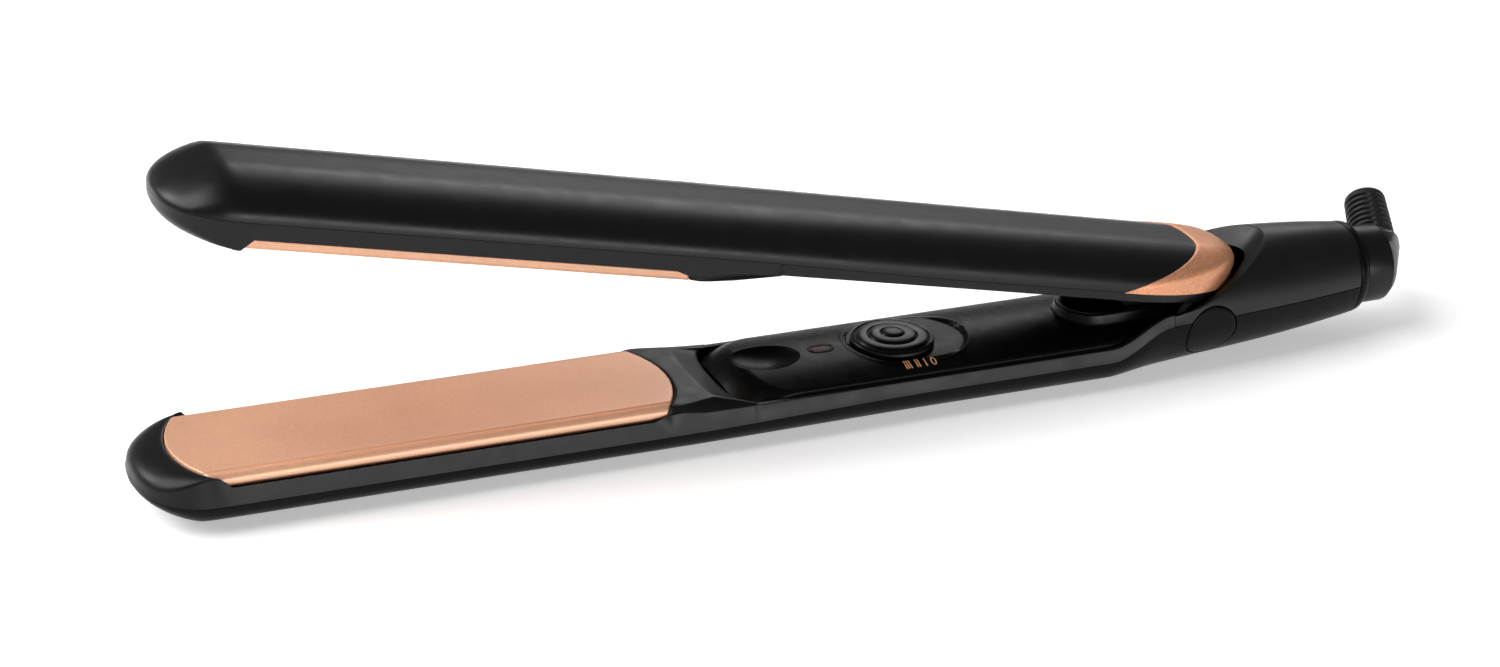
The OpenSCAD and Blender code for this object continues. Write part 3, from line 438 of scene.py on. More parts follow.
def crown_row(x, half, edge, depth, flat, inset, power):
    """Points across a shell, from one side edge over the crown to the other."""
    hollow = ease(3 * WALL - NOSE_L, 7 * WALL - NOSE_L, x)
    rise = max(LEAST_RISE, (depth - inset - edge) * hollow) if inset else depth - edge
    wide = max(half / 2, half - inset)
    row = [(x, s * wide, -edge - rise * crown_fall(s, flat, power)) for s in crown_shares(flat)]
    round_off = 0 if inset else min(BEVEL, half / 4)
    first = (x, -(wide - round_off - SLIVER), -edge)
    last = (x, wide - round_off - SLIVER, -edge)
    drop = min(round_off, rise / 4) + SLIVER
    row[0] = (x, -wide, -edge - drop)
    row[-1] = (x, wide, -edge - drop)
    return [first] + row + [last]


def lower_row(x, inset):
    flat = mix(ARM_FLAT, TAIL_FLAT, ease(RISE_X, PIVOT_X + 10, x))
    power = mix(CROWN_POWER, 2, ease(RISE_X, PIVOT_X, x))
    return crown_row(x, lower_half(x), lower_edge(x), lower_depth(x), flat, inset, power)


def upper_row(x, inset):
    depth = crown_depth(x, UPPER_H)
    return crown_row(x, arm_half(x), shell_edge(x), depth, ARM_FLAT, inset, CROWN_POWER)


nose_xs = [nose_station(a) for a in NOSE_ANGLES]
arm_xs = nose_xs + spread(NOSE_BEND + 1.5, LAND_X, 22) + spread(LAND_X, CORNER_X, 10)[1:]
grip_xs = spread(CORNER_X, RAMP_START, 18)[1:]
ramp_xs = spread(RAMP_START, RAMP_END, 12)[1:]
tail_xs = spread(RAMP_END, TAIL_X - 0.4, 24)[1:] + [TAIL_X]


def trim_z(s, t, inset):
    foot = GRIP_EDGE_D + TRIM_RISE * (1 - s * s) * t
    return -foot - (UPPER_H - inset - foot) * crown_fall(s, ARM_FLAT, CROWN_POWER) * bulge(t, DOME_POWER)


def trim_row(t, inset, proud=0.0):
    row = []
    for s in crown_shares(ARM_FLAT):
        x = mix(trim_front(s * GRIP_HALF), upper_end(s * GRIP_HALF) - inset + proud, t)
        row.append((x, s * (GRIP_HALF - inset + proud), trim_z(s, t, inset - proud)))
    return row


def shell_end(inset):
    row = trim_row(0, inset)
    edge = row[0][2]
    corner = 0 if inset else BEVEL
    first = (row[0][0], row[0][1] + corner, edge)
    last = (row[-1][0], row[-1][1] - corner, edge)
    row[0] = (row[0][0], row[0][1], edge - BEVEL)
    row[-1] = (row[-1][0], row[-1][1], edge - BEVEL)
    return [first] + row + [last]


def cut_cap_holes(piece, start, steps=96):
    """Cuts the round holes that the hinge caps sit in, from y = start outwards on each side."""
    radius = CAP_D / 2 + CAP_GAP
    rim = [(PIVOT_X + radius * math.cos(a), PIVOT_Z + radius * math.sin(a)) for a in turns(steps)]
    faces = quads(2, steps, 0, False, True) + end_caps(2, steps)
    for side in (-1, 1):
        points = [(x, side * y, z) for y in (start, CUTTER_END) for x, z in rim]
        cut(piece, build("cutter", points, faces, lower))


lower_xs = arm_xs + grip_xs + ramp_xs + tail_xs
lower_rows = [[lower_row(x, inset) for x in lower_xs] for inset in (0, WALL)]
lower_shell = skin("lower_shell_skin", *lower_rows, lower)
upper_xs = [x for x in arm_xs + grip_xs if x < trim_front(GRIP_HALF) - 2]


def toward(x, row, t, inset):
    return [blend(p, q, t) for p, q in zip(upper_row(x, inset), row)]


def upper_rows(inset):
    rows = [upper_row(x, inset) for x in upper_xs]
    end = shell_end(inset)
    rows += [toward(upper_xs[-1], end, t, inset) for t in spread(0, 1, 14)[1:]]
    return rows


upper_shell = skin("upper_shell_skin", upper_rows(0), upper_rows(WALL), upper)
cut_cap_holes(lower_shell, SHELL_HOLE_Y)
# The lower shell takes the darker copy of the shell's black, which is painted shade
dress(lower_shell, SHELL_PAINTED_SHADE, "base", "satin_black", "lower_shell")
dress(upper_shell, SHELL, "upper_arm", "satin_black", "upper_shell")

# Frames: the ring around each plate, then the rails around each handle cover
ARC, FRONT, CORNER = 56, 40, 12
HOOK_D, SIDE_RAIL_D, GROOVE_D, NOSE_RIM_D = LAND_D + 0.25, RAIL_D + 0.4, 0.7, NOSE_TIP_D - 0.6
HOOK_POWER, CORNER_POWER, SHORT_RUN, RAIL_X = 8, 30, 3, CORNER_X - 1.2
RUNS = [0, 0.012, 0.05, 0.13, 0.24, 0.36, 0.44, 0.47, 0.5, 0.58, 0.7, 0.79, 0.87, 0.93, 0.97, 0.99, 1]
RAIL_RUNS = (0, 0.06, 0.2, 0.5, 0.8, 0.94, 1)
RAIL_LIPS = (0.16, 0.04, 0, 0, 0, 0.05, 0.2)


def plate_arc(grow, steps):
    half, reach = PLATE_SIDE + grow, PLATE_RISE + grow
    r = (half * half + reach * reach) / (2 * reach)
    sweep = math.asin(half / r)
    return [(r - reach - r * math.cos(a), r * math.sin(a)) for a in spread(-sweep, sweep, steps)]


def front_curve(s):
    return DECK_RISE * (1 - bulge(s, DECK_POWER))


def deck_front(grow, steps):
    points = []
    for k in range(steps + 1):
        s = math.sin(mix(-math.pi / 2, math.pi / 2, k / steps))
        points.append((DECK_X - grow + front_curve(s), s * (DECK_HALF + grow)))
    return points


def ring_rows(depth):
    """Rows round a plate: inner point, outer point, depth at each, and whether the fall is rounded."""
    rows, opening = [], plate_arc(PLATE_FIT, ARC)
    for k in range(ARC + 1):
        a = mix(-90, 90, k / ARC)
        s = abs(math.sin(math.radians(a)))
        rows.append((opening[k], (nose_station(a), ARM_W / 2 * math.sin(math.radians(a))),
                     LAND_D, mix(NOSE_RIM_D, HOOK_D, s ** HOOK_POWER), True))
    sides = spread(NOSE_BEND + 1.2, LAND_X - 3, 24)
    near, far, groove = PLATE_SIDE + PLATE_FIT, ARM_W / 2, SIDE_RAIL_D + GROOVE_D
    rows += [((x, near), (x, far), groove, SIDE_RAIL_D, False) for x in sides]
    steps = 2 * CORNER + FRONT + 2
    opening, front = plate_arc(PLATE_FIT, steps), deck_front(COVER_FIT, FRONT)
    for k in range(steps + 1):
        m = steps - k
        x = mix(LAND_X, CORNER_X, min(k, m) / CORNER)
        if k <= CORNER:
            p = (x, arm_half(x))
        elif m <= CORNER:
            p = (x, -arm_half(x))
        else:
            p = front[steps - CORNER - 1 - k]
        start = abs(1 - 2 * k / steps) ** CORNER_POWER
        rows.append(((PLATE_L - opening[steps - k][0], opening[steps - k][1]), p, mix(LAND_D, RAIL_D, start),
                     mix(BUMP_D, depth, ease(LAND_X, SLOPE_X + 2, p[0])), False))
    rows += [((x, -near), (x, -far), groove, SIDE_RAIL_D, False) for x in reversed(sides)]
    return rows


def fall_share(t, rounded, short):
    if rounded:
        return 1 - quarter(t)
    return t if short else max(0.12 * t, 1.76 * t - 0.76)


def rounding(depth, width, away):
    """How far a rounded edge has dropped, at a distance from that edge."""
    return depth * (1 - min(1, away / width)) ** 2


def ring(name, depth, place):
    tops, feet = [], []
    for opening, outline, d0, d1, rounded in ring_rows(depth):
        foot = shell_edge(outline[0])
        length = math.hypot(outline[0] - opening[0], outline[1] - opening[1])
        pull = DRAFT * max(0, foot - d1)
        edge, drawn = outline, 1 - min(0.6, pull / length)
        if outline[0] > LAND_X and abs(outline[1]) > DECK_HALF + GRIP_RAIL_T / 2:
            edge, drawn = (outline[0], outline[1] - math.copysign(pull, outline[1])), 1
        top, base = [], []
        for t in RUNS:
            fall = mix(d0, d1, fall_share(t, rounded, length < SHORT_RUN))
            lip = rounding(0.12, 0.35, t * length) + rounding(0.2, 0.45, (1 - t) * length)
            top.append((*blend(opening, edge, t * drawn), -fall - lip))
            base.append((*blend(opening, outline, t), -foot))
        tops.append(top)
        feet.append(base)
    return skin(name, feet, tops, place, looped=True, sharp=30)


def rail_piece(name, path, place):
    """path rows: inner point, outer point, foot, top."""
    outer, inner = [], []
    for p, q, foot, top in path:
        drawn = 1 - min(0.5, DRAFT * abs(foot - top) / math.hypot(q[0] - p[0], q[1] - p[1]))
        outer.append([(*blend(p, q, t), foot) for t in RAIL_RUNS])
        inner.append([(*blend(p, q, t * drawn), top - math.copysign(lip, top - foot))
                      for t, lip in zip(RAIL_RUNS, RAIL_LIPS)])
    return skin(name, outer, inner, place, sharp=30)


def lower_rail_row(x, side):
    inner, outer = DECK_HALF + COVER_FIT, lower_half(x)
    return (x, side * inner), (x, side * outer), -lower_edge(x), -lower_rail(x)


def upper_rail_row(x, side):
    half = arm_half(x)
    return (x, side * (half - GRIP_RAIL_T)), (x, side * half), -shell_edge(x), -UPPER_RAIL_D


dress(ring("lower_ring", GRIP_RAIL_D, lower), FRAME, "base", "frame_grey", "lower_frame")
for side, name in ((-1, "lower_rail_near"), (1, "lower_rail_far")):
    path = [lower_rail_row(x, side) for x in [RAIL_X] + grip_xs + ramp_xs]
    dress(rail_piece(name, path, lower), FRAME, "base", "frame_grey")

dress(ring("upper_ring", UPPER_RAIL_D, upper), FRAME, "upper_arm", "frame_grey", "upper_frame")
rail_xs = [RAIL_X] + [x for x in upper_xs if x > CORNER_X]
tail_shares = [math.sin(a) for a in spread(-math.pi / 2, math.pi / 2, 64)]
path = [upper_rail_row(x, 1) for x in rail_xs]
for s in reversed(tail_shares):
    end = upper_end(s * GRIP_HALF)
    path.append(((end - GRIP_RAIL_T, s * (GRIP_HALF - GRIP_RAIL_T)), (end, s * GRIP_HALF),
                 -GRIP_EDGE_D - TRIM_RISE * (1 - s * s), -UPPER_RAIL_D))
path += [upper_rail_row(x, -1) for x in reversed(rail_xs)]
dress(rail_piece("upper_rail", path, upper), FRAME, "upper_arm", "frame_grey")


# Hot plates
LIP_START, LIP_BEND = 0.24, 0.9


def plate(name, place):
    half, side = PLATE_HALF, PLATE_SIDE
    section = [(y, 0) for y in (0, 3, 6, 9, 11.5, half - 0.42)]
    section += [(half - 0.3, -0.02), (half - 0.22, -0.09), (half - 0.16, -0.2), (half - 0.08, -LIP_START)]
    for k in range(13):
        a = math.pi / 2 * k / 12
        z = -LIP_START - (LIP_H - LIP_START) * (1 - math.cos(a))
        section.append((mix(half, side, math.sin(a) ** LIP_BEND), z))
    section += [(side, -LIP_H - 0.1), (side - UNDERCUT, -LIP_H - 0.2), (side - UNDERCUT, -PLATE_T)]
    section = [(-y, z) for y, z in section[:0:-1]] + section
    reach = (side * side + PLATE_RISE * PLATE_RISE) / (2 * PLATE_RISE)
    ends = [(0, -1.2), (0, -0.35), (0.05, -0.18), (0.14, -0.07), (0.3, -0.015), (0.5, 0)]
    rows = []
    middle = [(x, 0.0) for x in spread(3, PLATE_L / 2, 10)]
    for inset, drop in ends + middle:
        front, back = [], []
        for y, z in section:
            x0 = reach - PLATE_RISE - math.sqrt(reach * reach - y * y)
            front.append((mix(x0, PLATE_L / 2, inset / (PLATE_L / 2)), y, z + drop - PLATE_GAP / 2))
            back.append((PLATE_L - front[-1][0], y, front[-1][2]))
        rows.append((front, back))
    grid = [f for f, b in rows] + [b for f, b in rows[-2::-1]]
    floor = -PLATE_GAP / 2 - PLATE_T
    grid = [[(x, y, max(z, floor + 0.02)) for x, y, z in row] for row in grid]
    under = [[(x, y, floor) for x, y, z in row] for row in grid]
    return skin(name, grid, under, place, sharp=40)


dress(plate("lower_plate_skin", lower), PLATE, "lower_plate_body", "copper_plate", "lower_plate")
dress(plate("upper_plate_skin", upper), PLATE, "upper_plate_body", "copper_plate", "upper_plate")


# Control deck: one moulded surface with a dimple and a recess, then the raised collar of the hinge well
RECESS_IN, RECESS_OUT, RECESS_D, RECESS_RIM, RECESS_RIM_W, RECESS_RIM_H = 9.4, 10.1, 0.8, 10.4, 0.7, 0.1
WELL_FLOOR, WELL_IN, WELL_OUT, WELL_DEEP, WELL_SKIRT, DECK_SKIRT = -9, 0.1, 0.45, -5, -9.2, -4.2
DIMPLE_LIFT, DIMPLE_RADII = 1.2, (8.2, 6.45, 3.1)
SIDE_ROUND, FRONT_RUN, FRONT_SIDE, ROW_START, ROW_STEP = 0.6, 5.2, 0.4, 1.35, 0.38
FRONT_ROWS = [0, 0.06, 0.16, 0.3, 0.5, 0.75, 1.05]


def deck_side(x):
    return DECK_HALF - 2 * max(0, x - RAMP_START) / (DECK_END - RAMP_START)


def well_distance(x, y):
    centre = WELL_X + WELL_HALF
    return (math.hypot(x - centre, y) if x < centre else abs(y)) - WELL_HALF


def deck_crown(y):
    return DECK_TOP - DECK_CROWN * (y / DECK_HALF) ** 2


def deck_height(x, y):
    away = math.hypot(x - min(max(x, KNOB_X), KNOB_X + KNOB_TRAVEL), y)
    z = mix(deck_crown(y), DECK_TOP - RECESS_D, ease(RECESS_OUT, RECESS_IN, away))
    z += RECESS_RIM_H * ease(RECESS_RIM_W, 0, abs(away - RECESS_RIM))
    return mix(z, WELL_FLOOR, ease(WELL_OUT, WELL_IN, well_distance(x, y)))


def fillet(r, near):
    return r - math.sqrt(max(0, r * r - max(0, r - near) ** 2))


def ellipsoid(name, centre, radii, steps=72):
    points, rows = [], steps // 2
    for i in range(1, rows):
        a = math.pi * i / rows
        for b in turns(steps):
            unit = (math.sin(a) * math.cos(b), math.sin(a) * math.sin(b), math.cos(a))
            points.append(tuple(c + r * u for c, r, u in zip(centre, radii, unit)))
    faces = quads(rows - 1, steps, 0, False, True) + end_caps(rows - 1, steps)
    return build(name, points, faces, lower)


def control_deck():
    shares = [math.sin(a) for a in spread(-math.pi / 2, math.pi / 2, 110)]
    length, front_drop = DECK_END - DECK_X, DECK_TOP + GRIP_RAIL_D + 0.25
    count = int((length - ROW_START) / ROW_STEP)
    points = []
    marks = FRONT_ROWS + [ROW_START + ROW_STEP * k for k in range(count)] + [length]
    for m in marks:
        for s in shares:
            front = front_curve(s)
            x = DECK_X + mix(front, length, m / length)
            side = deck_side(x)
            lead = (x - DECK_X - front) * mix(FRONT_SIDE, 1, quarter(s))
            drop = front_drop * max(0, 1 - lead / FRONT_RUN) ** FRONT_POWER
            edge = math.hypot(fillet(SIDE_ROUND, (1 - abs(s)) * side), drop)
            points.append((x, s * side, deck_height(x, s * side) - edge))
    n, cols = len(marks), len(shares)
    faces = quads(n, cols)
    rim = list(range(cols)) + [i * cols + cols - 1 for i in range(1, n)]
    rim += [(n - 1) * cols + j for j in range(cols - 2, -1, -1)] + [i * cols for i in range(n - 2, 0, -1)]
    start, count = len(points), len(rim)
    for x, y, z in [points[k] for k in rim]:
        points.append((x, y, WELL_SKIRT if z < WELL_DEEP else DECK_SKIRT))
    faces += [(rim[k], rim[(k + 1) % count], start + (k + 1) % count, start + k) for k in range(count)]
    faces.append(tuple(range(start, start + count)))
    piece = build("deck_surface", points, faces, lower, sharp=48)
    cut(piece, ellipsoid("cutter", (DIMPLE_X, 0, DECK_TOP + DIMPLE_LIFT), DIMPLE_RADII))
    return piece


# The deck takes its darker black, which carries painted shade from the upper arm above it
dress(control_deck(), DECK_PAINTED_SHADE, "base", "deck_black", "control_deck")


def well_collar():
    """Raised rim round the hinge well, open towards the tail."""
    centre, top, wide = WELL_X + WELL_HALF, DECK_TOP + COLLAR_H, COLLAR_T
    rim = [(0.05, -1.2, 0), (0.05, -0.25, 1), (0.12, -0.1, 1), (0.3, 0, 1)]
    rim += [(wide - 0.35, 0, 1), (wide - 0.12, -0.1, 1), (wide, -0.34, 1)]
    rim += [(wide + 0.22, 0.3, 0), (wide + 0.4, 0.08, 0), (wide + 0.8, -0.04, 0), (wide + 0.8, -1.2, 0)]
    path = [(x, -1.0, 0.0) for x in spread(DECK_END - 0.4, centre, 24)[:-1]]
    path += [(centre, math.sin(a), -math.cos(a)) for a in spread(-math.pi / 2, math.pi / 2, 60)]
    path += [(x, 1.0, 0.0) for x in spread(centre, DECK_END - 0.4, 24)[1:]]
    points = []
    for x, across, along in path:
        for d, z, on_top in rim:
            px, py = x + (WELL_HALF + d) * along, (WELL_HALF + d) * across
            points.append((px, py, z + (top if on_top else deck_crown(py))))
    n, cols = len(path), len(rim)
    faces = quads(n, cols, 0, False, True) + end_caps(n, cols)
    return build("well_collar", points, faces, lower, sharp=40)


dress(well_collar(), FRAME, "base", "deck_black")


# Switch marks and window on the deck
MARK_Y, MARK_L, MARK_W, MARK_STEP = -10.7, 2.3, 0.3, 0.54
THREE_X, TWO_X, ONE_X, ZERO_X = 144.15, 146.6, 148.6, 150.4
WINDOW_RIM, WINDOW_LENS = (5.7, 3.6), (4.2, 2.1)
MARK_LIFT, RIM_LIFT, LENS_LIFT, INLAY_FOOT = 0.05, 0.12, 0.03, -0.05


def on_deck(x, y, lift):
    return (x, y, deck_height(x, y) + lift)


def raised(name, outlines, lift, mat, slot):
    """Thin printed or inlaid shapes that follow the deck; outlines are closed lists of (x, y)."""
    points, faces = [], []
    for outline in outlines:
        start, n = len(points), len(outline)
        points += [on_deck(x, y, height) for height in (lift, INLAY_FOOT) for x, y in outline]
        faces.append(tuple(range(start, start + n)))
        faces += [(start + k, start + (k + 1) % n, start + n + (k + 1) % n, start + n + k) for k in range(n)]
    return dress(build(name, points, faces, lower, sharp=30), mat, "base", slot)


def bar(x):
    rows = spread(MARK_Y - MARK_L / 2, MARK_Y + MARK_L / 2, 6)
    return [(x - MARK_W / 2, y) for y in rows] + [(x + MARK_W / 2, y) for y in reversed(rows)]


def oval(wide, tall):
    return [(ZERO_X + wide * math.cos(a), MARK_Y + tall * math.sin(a)) for a in spread(0, 2 * math.pi, 36)]


def stadium(cx, length, width, steps=20):
    shift, r = (length - width) / 2, width / 2
    arc = spread(-math.pi / 2, math.pi / 2, steps)
    front = [(cx + shift + r * math.cos(a), r * math.sin(a)) for a in arc]
    return front + [(2 * cx - x, -y) for x, y in front]


def band(outer, inner):
    """Four-cornered outlines between two lines of as many points."""
    pairs = list(zip(outer, inner))
    return [[p, q, q_in, p_in] for (p, p_in), (q, q_in) in zip(pairs, pairs[1:])]


strokes = [THREE_X + MARK_STEP * k for k in range(3)] + [TWO_X + MARK_STEP * k for k in range(2)] + [ONE_X]
numerals = [bar(x) for x in strokes] + band(oval(0.6, MARK_L / 2), oval(0.32, 0.85))
raised("switch_marks", numerals, MARK_LIFT, MARKS, "copper_plate")

rim_out, rim_in = stadium(WINDOW_X, *WINDOW_RIM), stadium(WINDOW_X, *WINDOW_LENS)
rim_band = band(rim_out + rim_out[:1], rim_in + rim_in[:1])
raised("window_rim", rim_band, RIM_LIFT, RIM, "window_red")
lens = raised("window_lens", [rim_in], LENS_LIFT, LENS, "window_red")
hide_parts("indicator_window")

# Sliding knob: rounded rings that step up to a domed middle
KNOB_POWER, KNOB_BEND, KNOB_STEPS = 2.6, 0.9, 9
KNOB_RINGS = ((7.55, 5.25, 0.7, 1.3), (5.05, 2.55, 1.05, 1.72), (2.35, 0.0, 1.4, 2.1))


def ring_profile():
    """Stem and skirt, then each ring from its outer radius and height to its inner ones."""
    points = [(SLIVER, -4.6), (1.7, -4.6), (1.7, 0.0), (8.7, 0.0)]
    points += [(8.72, 0.45), (8.6, 0.7), (8.3, 0.88), (7.9, 0.95)]
    for r0, r1, z0, z1 in KNOB_RINGS:
        points += [(r0 + 0.12, z0), (r0, z0 - 0.05)]
        for k in range(KNOB_STEPS + 1):
            t = k / KNOB_STEPS
            r = max(SLIVER, mix(r0 - 0.08, r1 + 0.1, t))
            points.append((r, mix(z0, z1, bulge(1 - t, KNOB_POWER) ** KNOB_BEND)))
    return points


def on_knob(p):
    return lower((KNOB_X + p[0], p[1], KNOB_Z + p[2]))


knob = turned("knob_rings", ring_profile(), on_knob, 128, 48)
dress(knob, KNOB, "switch_knob", "deck_black", "slide_knob")


# Tail: trim, cover, caps and collar
TRIM_RUNS = [0, 0.012, 0.03, 0.06, 0.12, 0.2, 0.3, 0.4, 0.5, 0.6]
TRIM_RUNS += [0.7, 0.78, 0.84, 0.89, 0.93, 0.96, 0.98, 0.992, 1]
TRIM_PROUD = [0.02, 0.1, 0.17] + [0.2] * (len(TRIM_RUNS) - 3)
COVER_RUNS = [0, 0.004, 0.012, 0.03, 0.06, 0.1] + spread(0.15, 0.99, 24) + [1]
COVER_DROP = [0.3, 0.1, 0.02] + [0] * (len(COVER_RUNS) - 3)
COVER_LIP, COVER_THIN, COVER_THICK, COVER_INSET = CRADLE_LIP - 0.7, 0.5, 1.75, 0.12
CAP_ROUNDS = [(SLIVER, 0), (1.5, 0), (3, 0), (4.3, 0), (5.0, 0), (5.4, 0.01), (5.65, 0.05)]
CAP_ROUNDS += [(5.82, 0.13), (5.92, 0.26), (5.95, 0.45), (5.95, 2.4), (SLIVER, 2.4)]
CAP_BACK = 2


def trim():
    outer = [trim_row(t, 0, p) for t, p in zip(TRIM_RUNS, TRIM_PROUD)]
    return skin("trim_band", outer, [trim_row(t, WALL) for t in TRIM_RUNS], upper)


dress(trim(), TRIM, "upper_arm", "copper_trim", "tail_trim")

cover_shares = [math.sin(math.radians(a)) for a in spread(-90, 90, 90)]


def cover_point(s, t, inset, lip):
    x = mix(cradle_x(s) - lip * (1 - s * s), TAIL_X, t)
    half = mix(GRIP_HALF, TAIL_R, tail_run(x)) - inset
    return (x, s * half, PARTING + (tail_crown(x) - inset - PARTING) * quarter(s))


def cover_wall(s, t):
    """Thickness of the cover: thin at the side edges, thick at the lip's middle."""
    return WALL * (mix(COVER_THIN, 1, quarter(s)) + COVER_THICK * (1 - t) * (1 - s * s))


def tail_cover():
    outer = [[cover_point(s, t, d, 0) for s in cover_shares] for t, d in zip(COVER_RUNS, COVER_DROP)]
    inner = [[cover_point(s, t, cover_wall(s, t), COVER_LIP) for s in cover_shares] for t in COVER_RUNS]
    for row in outer:
        row[0] = (row[0][0], row[0][1] + COVER_INSET, row[0][2])
        row[-1] = (row[-1][0], row[-1][1] - COVER_INSET, row[-1][2])
    piece = skin("tail_cover_skin", outer, inner, lower)
    cut_cap_holes(piece, COVER_HOLE_Y)
    return piece


dress(tail_cover(), TAIL, "base", "satin_black", "tail_cover")


def tail_side(x, z):
    """Half width of the tail housing at a height."""
    if z > PARTING:
        rise = min(1, (z - PARTING) / (tail_crown(x) - PARTING))
        return mix(GRIP_HALF, TAIL_R, tail_run(x)) * math.sqrt(1 - rise * rise)
    row = [p for p in lower_row(x, 0) if p[1] > 0]
    for (_, y0, z0), (_, y1, z1) in zip(row, row[1:-1]):
        if z0 <= z <= z1:
            return mix(y0, y1, (z - z0) / max(1e-6, z1 - z0))
    return row[-2][1]


def hinge_cap(side, steps=96):
    """Cap whose face follows the housing; CAP_ROUNDS gives each circle's radius and depth under that face."""
    points = []
    for r, inward in CAP_ROUNDS:
        for a in turns(steps):
            x, z = PIVOT_X + r * math.cos(a), PIVOT_Z + r * math.sin(a)
            y = tail_side(x, z) + CAP_PROUD - inward if inward < CAP_BACK else GRIP_HALF - CAP_FOOT
            points.append((x, side * y, z))
    faces = quads(len(CAP_ROUNDS), steps, 0, False, True) + [tuple(range(steps))]
    return build("hinge_cap_near" if side < 0 else "hinge_cap_far", points, faces, lower)


for side in (-1, 1):
    cap = dress(hinge_cap(side), SHELL_PAINTED_SHADE, "base", "frame_grey")
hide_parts("hinge_caps")

collar = [(6.08, -7), (8, -7), (8.1, 0.15), (TAIL_R - 0.25, 0.15), (TAIL_R - 0.05, 0.3), (TAIL_R, 0.55)]
collar += [(TAIL_R - 0.05, 1.2), (TAIL_R - 0.25, 1.9), (TAIL_R - 0.7, 2.5), (TAIL_R - 1.2, 2.85)]
collar += [(8.2, 3.0), (6.08, 3.0)]


def about_swivel(p):
    return lower((TAIL_X + p[2], p[0], TAIL_AXIS + p[1]))


def ring_turned(name, profile, place, segments=112):
    """Solid turned from a closed profile that stays clear of the axis."""
    return build(name, circles(profile, segments), quads(len(profile), segments, 0, True, True), place)


dress(ring_turned("collar_ring", collar, about_swivel), DECK_PAINTED_SHADE, "base", "deck_black", "end_collar")

# Cord outlet
turn, lean = math.radians(BOOT_TURN - 90), math.radians(90 - BOOT_ANGLE)
BOOT_FRAME = Matrix.Rotation(turn, 3, "X") @ Matrix.Rotation(lean, 3, "Y")
ELBOW_SHARES = ((0, 0.985), (0.12, 1), (0.66, 1), (0.7, 0.99), (0.87, 0.85), (0.9, 0.8))
RIB_GROOVE = [(0, 0), (0.08, 0.12), (0.16, 0.5), (0.26, 0.62)]
RIB_GROOVE += [(0.44, 0.62), (0.54, 0.5), (0.62, 0.12), (0.7, 0)]
RIB_START, RIB_MARGIN, SOCKET_R, SPINE_START, SPINE_END = 1.4, 2.6, 4.1, 0.13, 0.27


def on_boot(p):
    q = BOOT_FRAME @ Vector(p)
    return lower((BOOT_X + q.x, q.y, TAIL_AXIS + q.z))


def on_elbow(p):
    return lower((ELBOW_X + p[2], p[0], TAIL_AXIS + p[1]))


def elbow():
    """Hull around the circles of the swivel's end and those at the root of the boot."""
    root = BOOT_ROOT_D / 2
    body = [(ELBOW_D / 2 * share, ELBOW_L * x) for x, share in ELBOW_SHARES]
    neck = [(root + 0.5, BOOT_START - 2), (root + 0.5, BOOT_START - 0.3), (root + 0.2, BOOT_START)]
    work = bmesh.new()
    for p in circles(body, 96):
        work.verts.new(on_elbow(p))
    for p in circles(neck, 96):
        work.verts.new(on_boot(p))
    bmesh.ops.convex_hull(work, input=work.verts)
    bmesh.ops.delete(work, geom=[v for v in work.verts if not v.link_faces], context="VERTS")
    return piece_of("elbow_body", work, 24)


dress(elbow(), FRAME, "cord_outlet", "frame_grey", "swivel_elbow")
journal_steps = [(SLIVER, -9), (7, -9), (7, -7.4), (5, -7.3), (5, -6), (6, -5.9), (6, 3.3), (SLIVER, 3.3)]
journal = turned("elbow_journal", journal_steps, about_swivel)
dress(journal, FRAME, "cord_outlet", "frame_grey")


def boot(segments=112):
    """Ribbed sleeve; a row is a radius, a height and the depth of the groove there."""
    root, tip, bore, top = BOOT_ROOT_D / 2, BOOT_END_D / 2, CORD_D / 2, BOOT_REACH
    length = BOOT_REACH - BOOT_START
    pitch = (length - RIB_MARGIN) / BOOT_RIBS
    rows = [(bore, 1.0, 0), (SOCKET_R, 1.0, 0), (SOCKET_R, BOOT_START - 0.2, 0)]
    rows += [(root - 0.15, BOOT_START, 0), (root, BOOT_START + 0.2, 0)]
    for k in range(BOOT_RIBS):
        for t, depth in RIB_GROOVE:
            h = BOOT_START + RIB_START + k * pitch + t * pitch
            rows.append((mix(root, tip, (h - BOOT_START) / length), h, depth))
    rows += [(tip, top - 0.8, 0), (tip - 0.12, top - 0.4, 0), (tip - 0.4, top - 0.1, 0)]
    rows += [(tip - 0.8, top, 0), (bore, top, 0)]
    points = []
    for r, h, depth in rows:
        for a in turns(segments):
            cut_r = r - depth * ease(SPINE_START, SPINE_END, abs(math.cos(a)))
            points.append((cut_r * math.cos(a), cut_r * math.sin(a), h))
    return build("boot_ribs", points, quads(len(rows), segments, 0, True, True), on_boot)


dress(boot(), BOOT, "cord_outlet", "boot_rubber", "strain_relief")

# Solids that show as they are and only get a finish
for mat, names in (
    (STEEL, ("hinge_pin", "opening_spring", "board_screws", "neck_screws")),
    (ACETAL, ("hinge_bushes",)),
    (BOARD, ("control_board",)),
    (SWITCH, ("slide_switch",)),
    (LAMP, ("indicator_led",)),
    (HEAT, ("lower_insulator", "upper_insulator")),
    (SILICONE, ("lower_cushions", "upper_cushions")),
    (BRASS, ("swivel_contacts", "elbow_contacts")),
    (CERAMIC, ("lower_heater", "upper_heater", "lower_thermal_fuse", "upper_thermal_fuse")),
    (DECK_PAINTED_SHADE, ("inner_cover",)),
    (FRAME, ("hinge_neck",)),
):
    for name in names:
        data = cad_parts[name].data
        data.materials.clear()
        data.materials.append(mat)

# Studio: a pale floor, a large lamp from the left, two soft ones behind, a low strip in front, a dim room
scene = bpy.context.scene
scene.view_settings.view_transform = "Standard"
FLOOR_GLOW, FLOOR_HALF, FLOOR_DROP, PAPER = 0.42, 5, 5e-5, 30
LAMP_AIM = Vector((0.02, 0.0, 0.02))


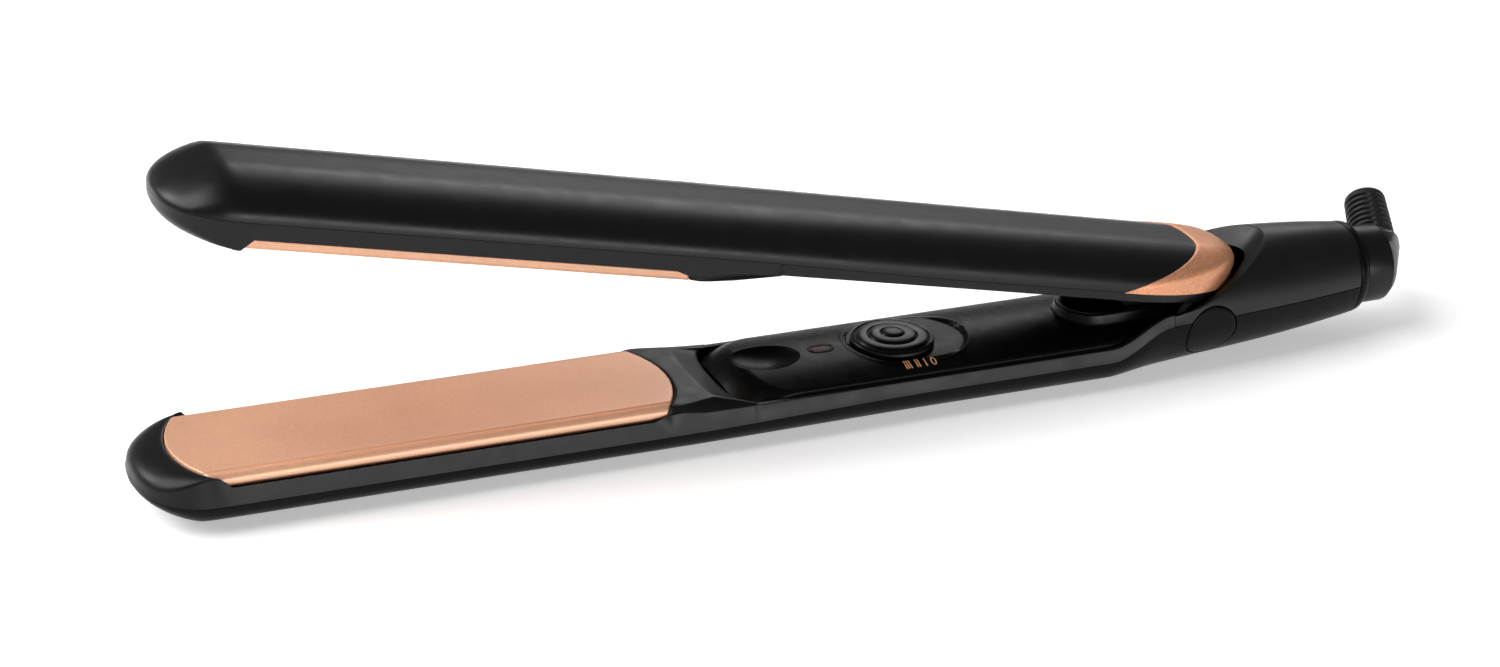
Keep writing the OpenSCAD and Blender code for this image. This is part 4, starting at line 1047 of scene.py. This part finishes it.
def floor():
    mat, tree, shader, where = nodes_of("floor_white")
    paper = tint(tree, noise(tree, where, PAPER, 2), (0.94, 0.94, 0.94), (0.96, 0.96, 0.96))
    tree.links.new(paper, shader.inputs["Base Color"])
    shader.inputs["Roughness"].default_value = 0.9
    shader.inputs["Specular IOR Level"].default_value = 0.0
    rays = tree.nodes.new("ShaderNodeLightPath")
    seen = rays.outputs["Is Camera Ray"]
    for ray in ("Is Glossy Ray", "Is Transmission Ray"):
        both = tree.nodes.new("ShaderNodeMath")
        both.operation = "MAXIMUM"
        tree.links.new(seen, both.inputs[0])
        tree.links.new(rays.outputs[ray], both.inputs[1])
        seen = both.outputs[0]
    shader.inputs["Emission Color"].default_value = (1, 1, 1, 1)
    tree.links.new(ramp(tree, seen, 0, FLOOR_GLOW, 0, 1), shader.inputs["Emission Strength"])
    mesh = bpy.data.meshes.new("studio_floor")
    corners = ((-1, -1), (1, -1), (1, 1), (-1, 1))
    mesh.from_pydata([(FLOOR_HALF * x, FLOOR_HALF * y, -FLOOR_DROP) for x, y in corners], [], [(0, 1, 2, 3)])
    mesh.materials.append(mat)
    piece = bpy.data.objects.new("studio_floor", mesh)
    scene.collection.objects.link(piece)


floor()


def lamp(name, direction, distance, size, radiance):
    light = bpy.data.lights.new(name, "AREA")
    light.shape = "RECTANGLE"
    light.size, light.size_y = size
    light.energy = radiance * math.pi * size[0] * size[1]
    piece = bpy.data.objects.new(name, light)
    piece.location = LAMP_AIM + distance * Vector(direction).normalized()
    piece.rotation_euler = (-Vector(direction)).to_track_quat("-Z", "Y").to_euler()
    piece.visible_camera = False
    scene.collection.objects.link(piece)


lamp("key_lamp", (-0.66, 0.12, 0.74), 2.2, (1.9, 1.9), 4.5)
lamp("back_lamp", (0.49, 0.73, 0.47), 2.2, (1.0, 0.8), 2.4)
lamp("rim_lamp", (-0.62, 0.62, 0.48), 2.2, (0.6, 0.6), 8.0)
lamp("front_strip", (0.2, -0.97, 0.07), 1.3, (0.95, 0.26), 8.0)

world = bpy.data.worlds.new("studio")
scene.world = world
world.use_nodes = True
world.node_tree.nodes["Background"].inputs["Color"].default_value = (0.13, 0.13, 0.133, 1)

# Camera, from the fit to the photograph; the lengths of the fit times FIT_SCALE are millimetres
YAW, PITCH, ROLL = 23.29, 24.67, 1.86
FIT_SCALE, FIT_BACK, FIT_RIGHT, FIT_UP, FIT_START = 1.05, 446, 549.374, 85.445, 485.93
FOCAL_PX, PHOTO_PX, SENSOR_MM = 3433, 1500, 36
yaw, pitch, roll = math.radians(YAW), math.radians(PITCH), math.radians(ROLL)
ahead = Vector((math.sin(yaw) * math.cos(pitch), math.cos(yaw) * math.cos(pitch), -math.sin(pitch)))
level = Vector((math.cos(yaw), -math.sin(yaw), 0))
rise = level.cross(ahead)
right = math.cos(roll) * level + math.sin(roll) * rise
up = -math.sin(roll) * level + math.cos(roll) * rise
fitted = -FIT_BACK * ahead + FIT_RIGHT * right + FIT_UP * up - Vector((FIT_START, 0, 0))
spot = FIT_SCALE * fitted + Vector((-REST_X, 0, ARM_H))
camera_data = bpy.data.cameras.new("camera")
camera_data.sensor_width = SENSOR_MM
camera_data.lens = SENSOR_MM * FOCAL_PX / PHOTO_PX
camera_data.clip_start = 0.01
camera = bpy.data.objects.new("camera", camera_data)
turn_to = Matrix((right, up, -ahead)).transposed().to_4x4()
camera.matrix_world = Matrix.Translation(spot / 1000) @ turn_to
scene.collection.objects.link(camera)
scene.camera = camera
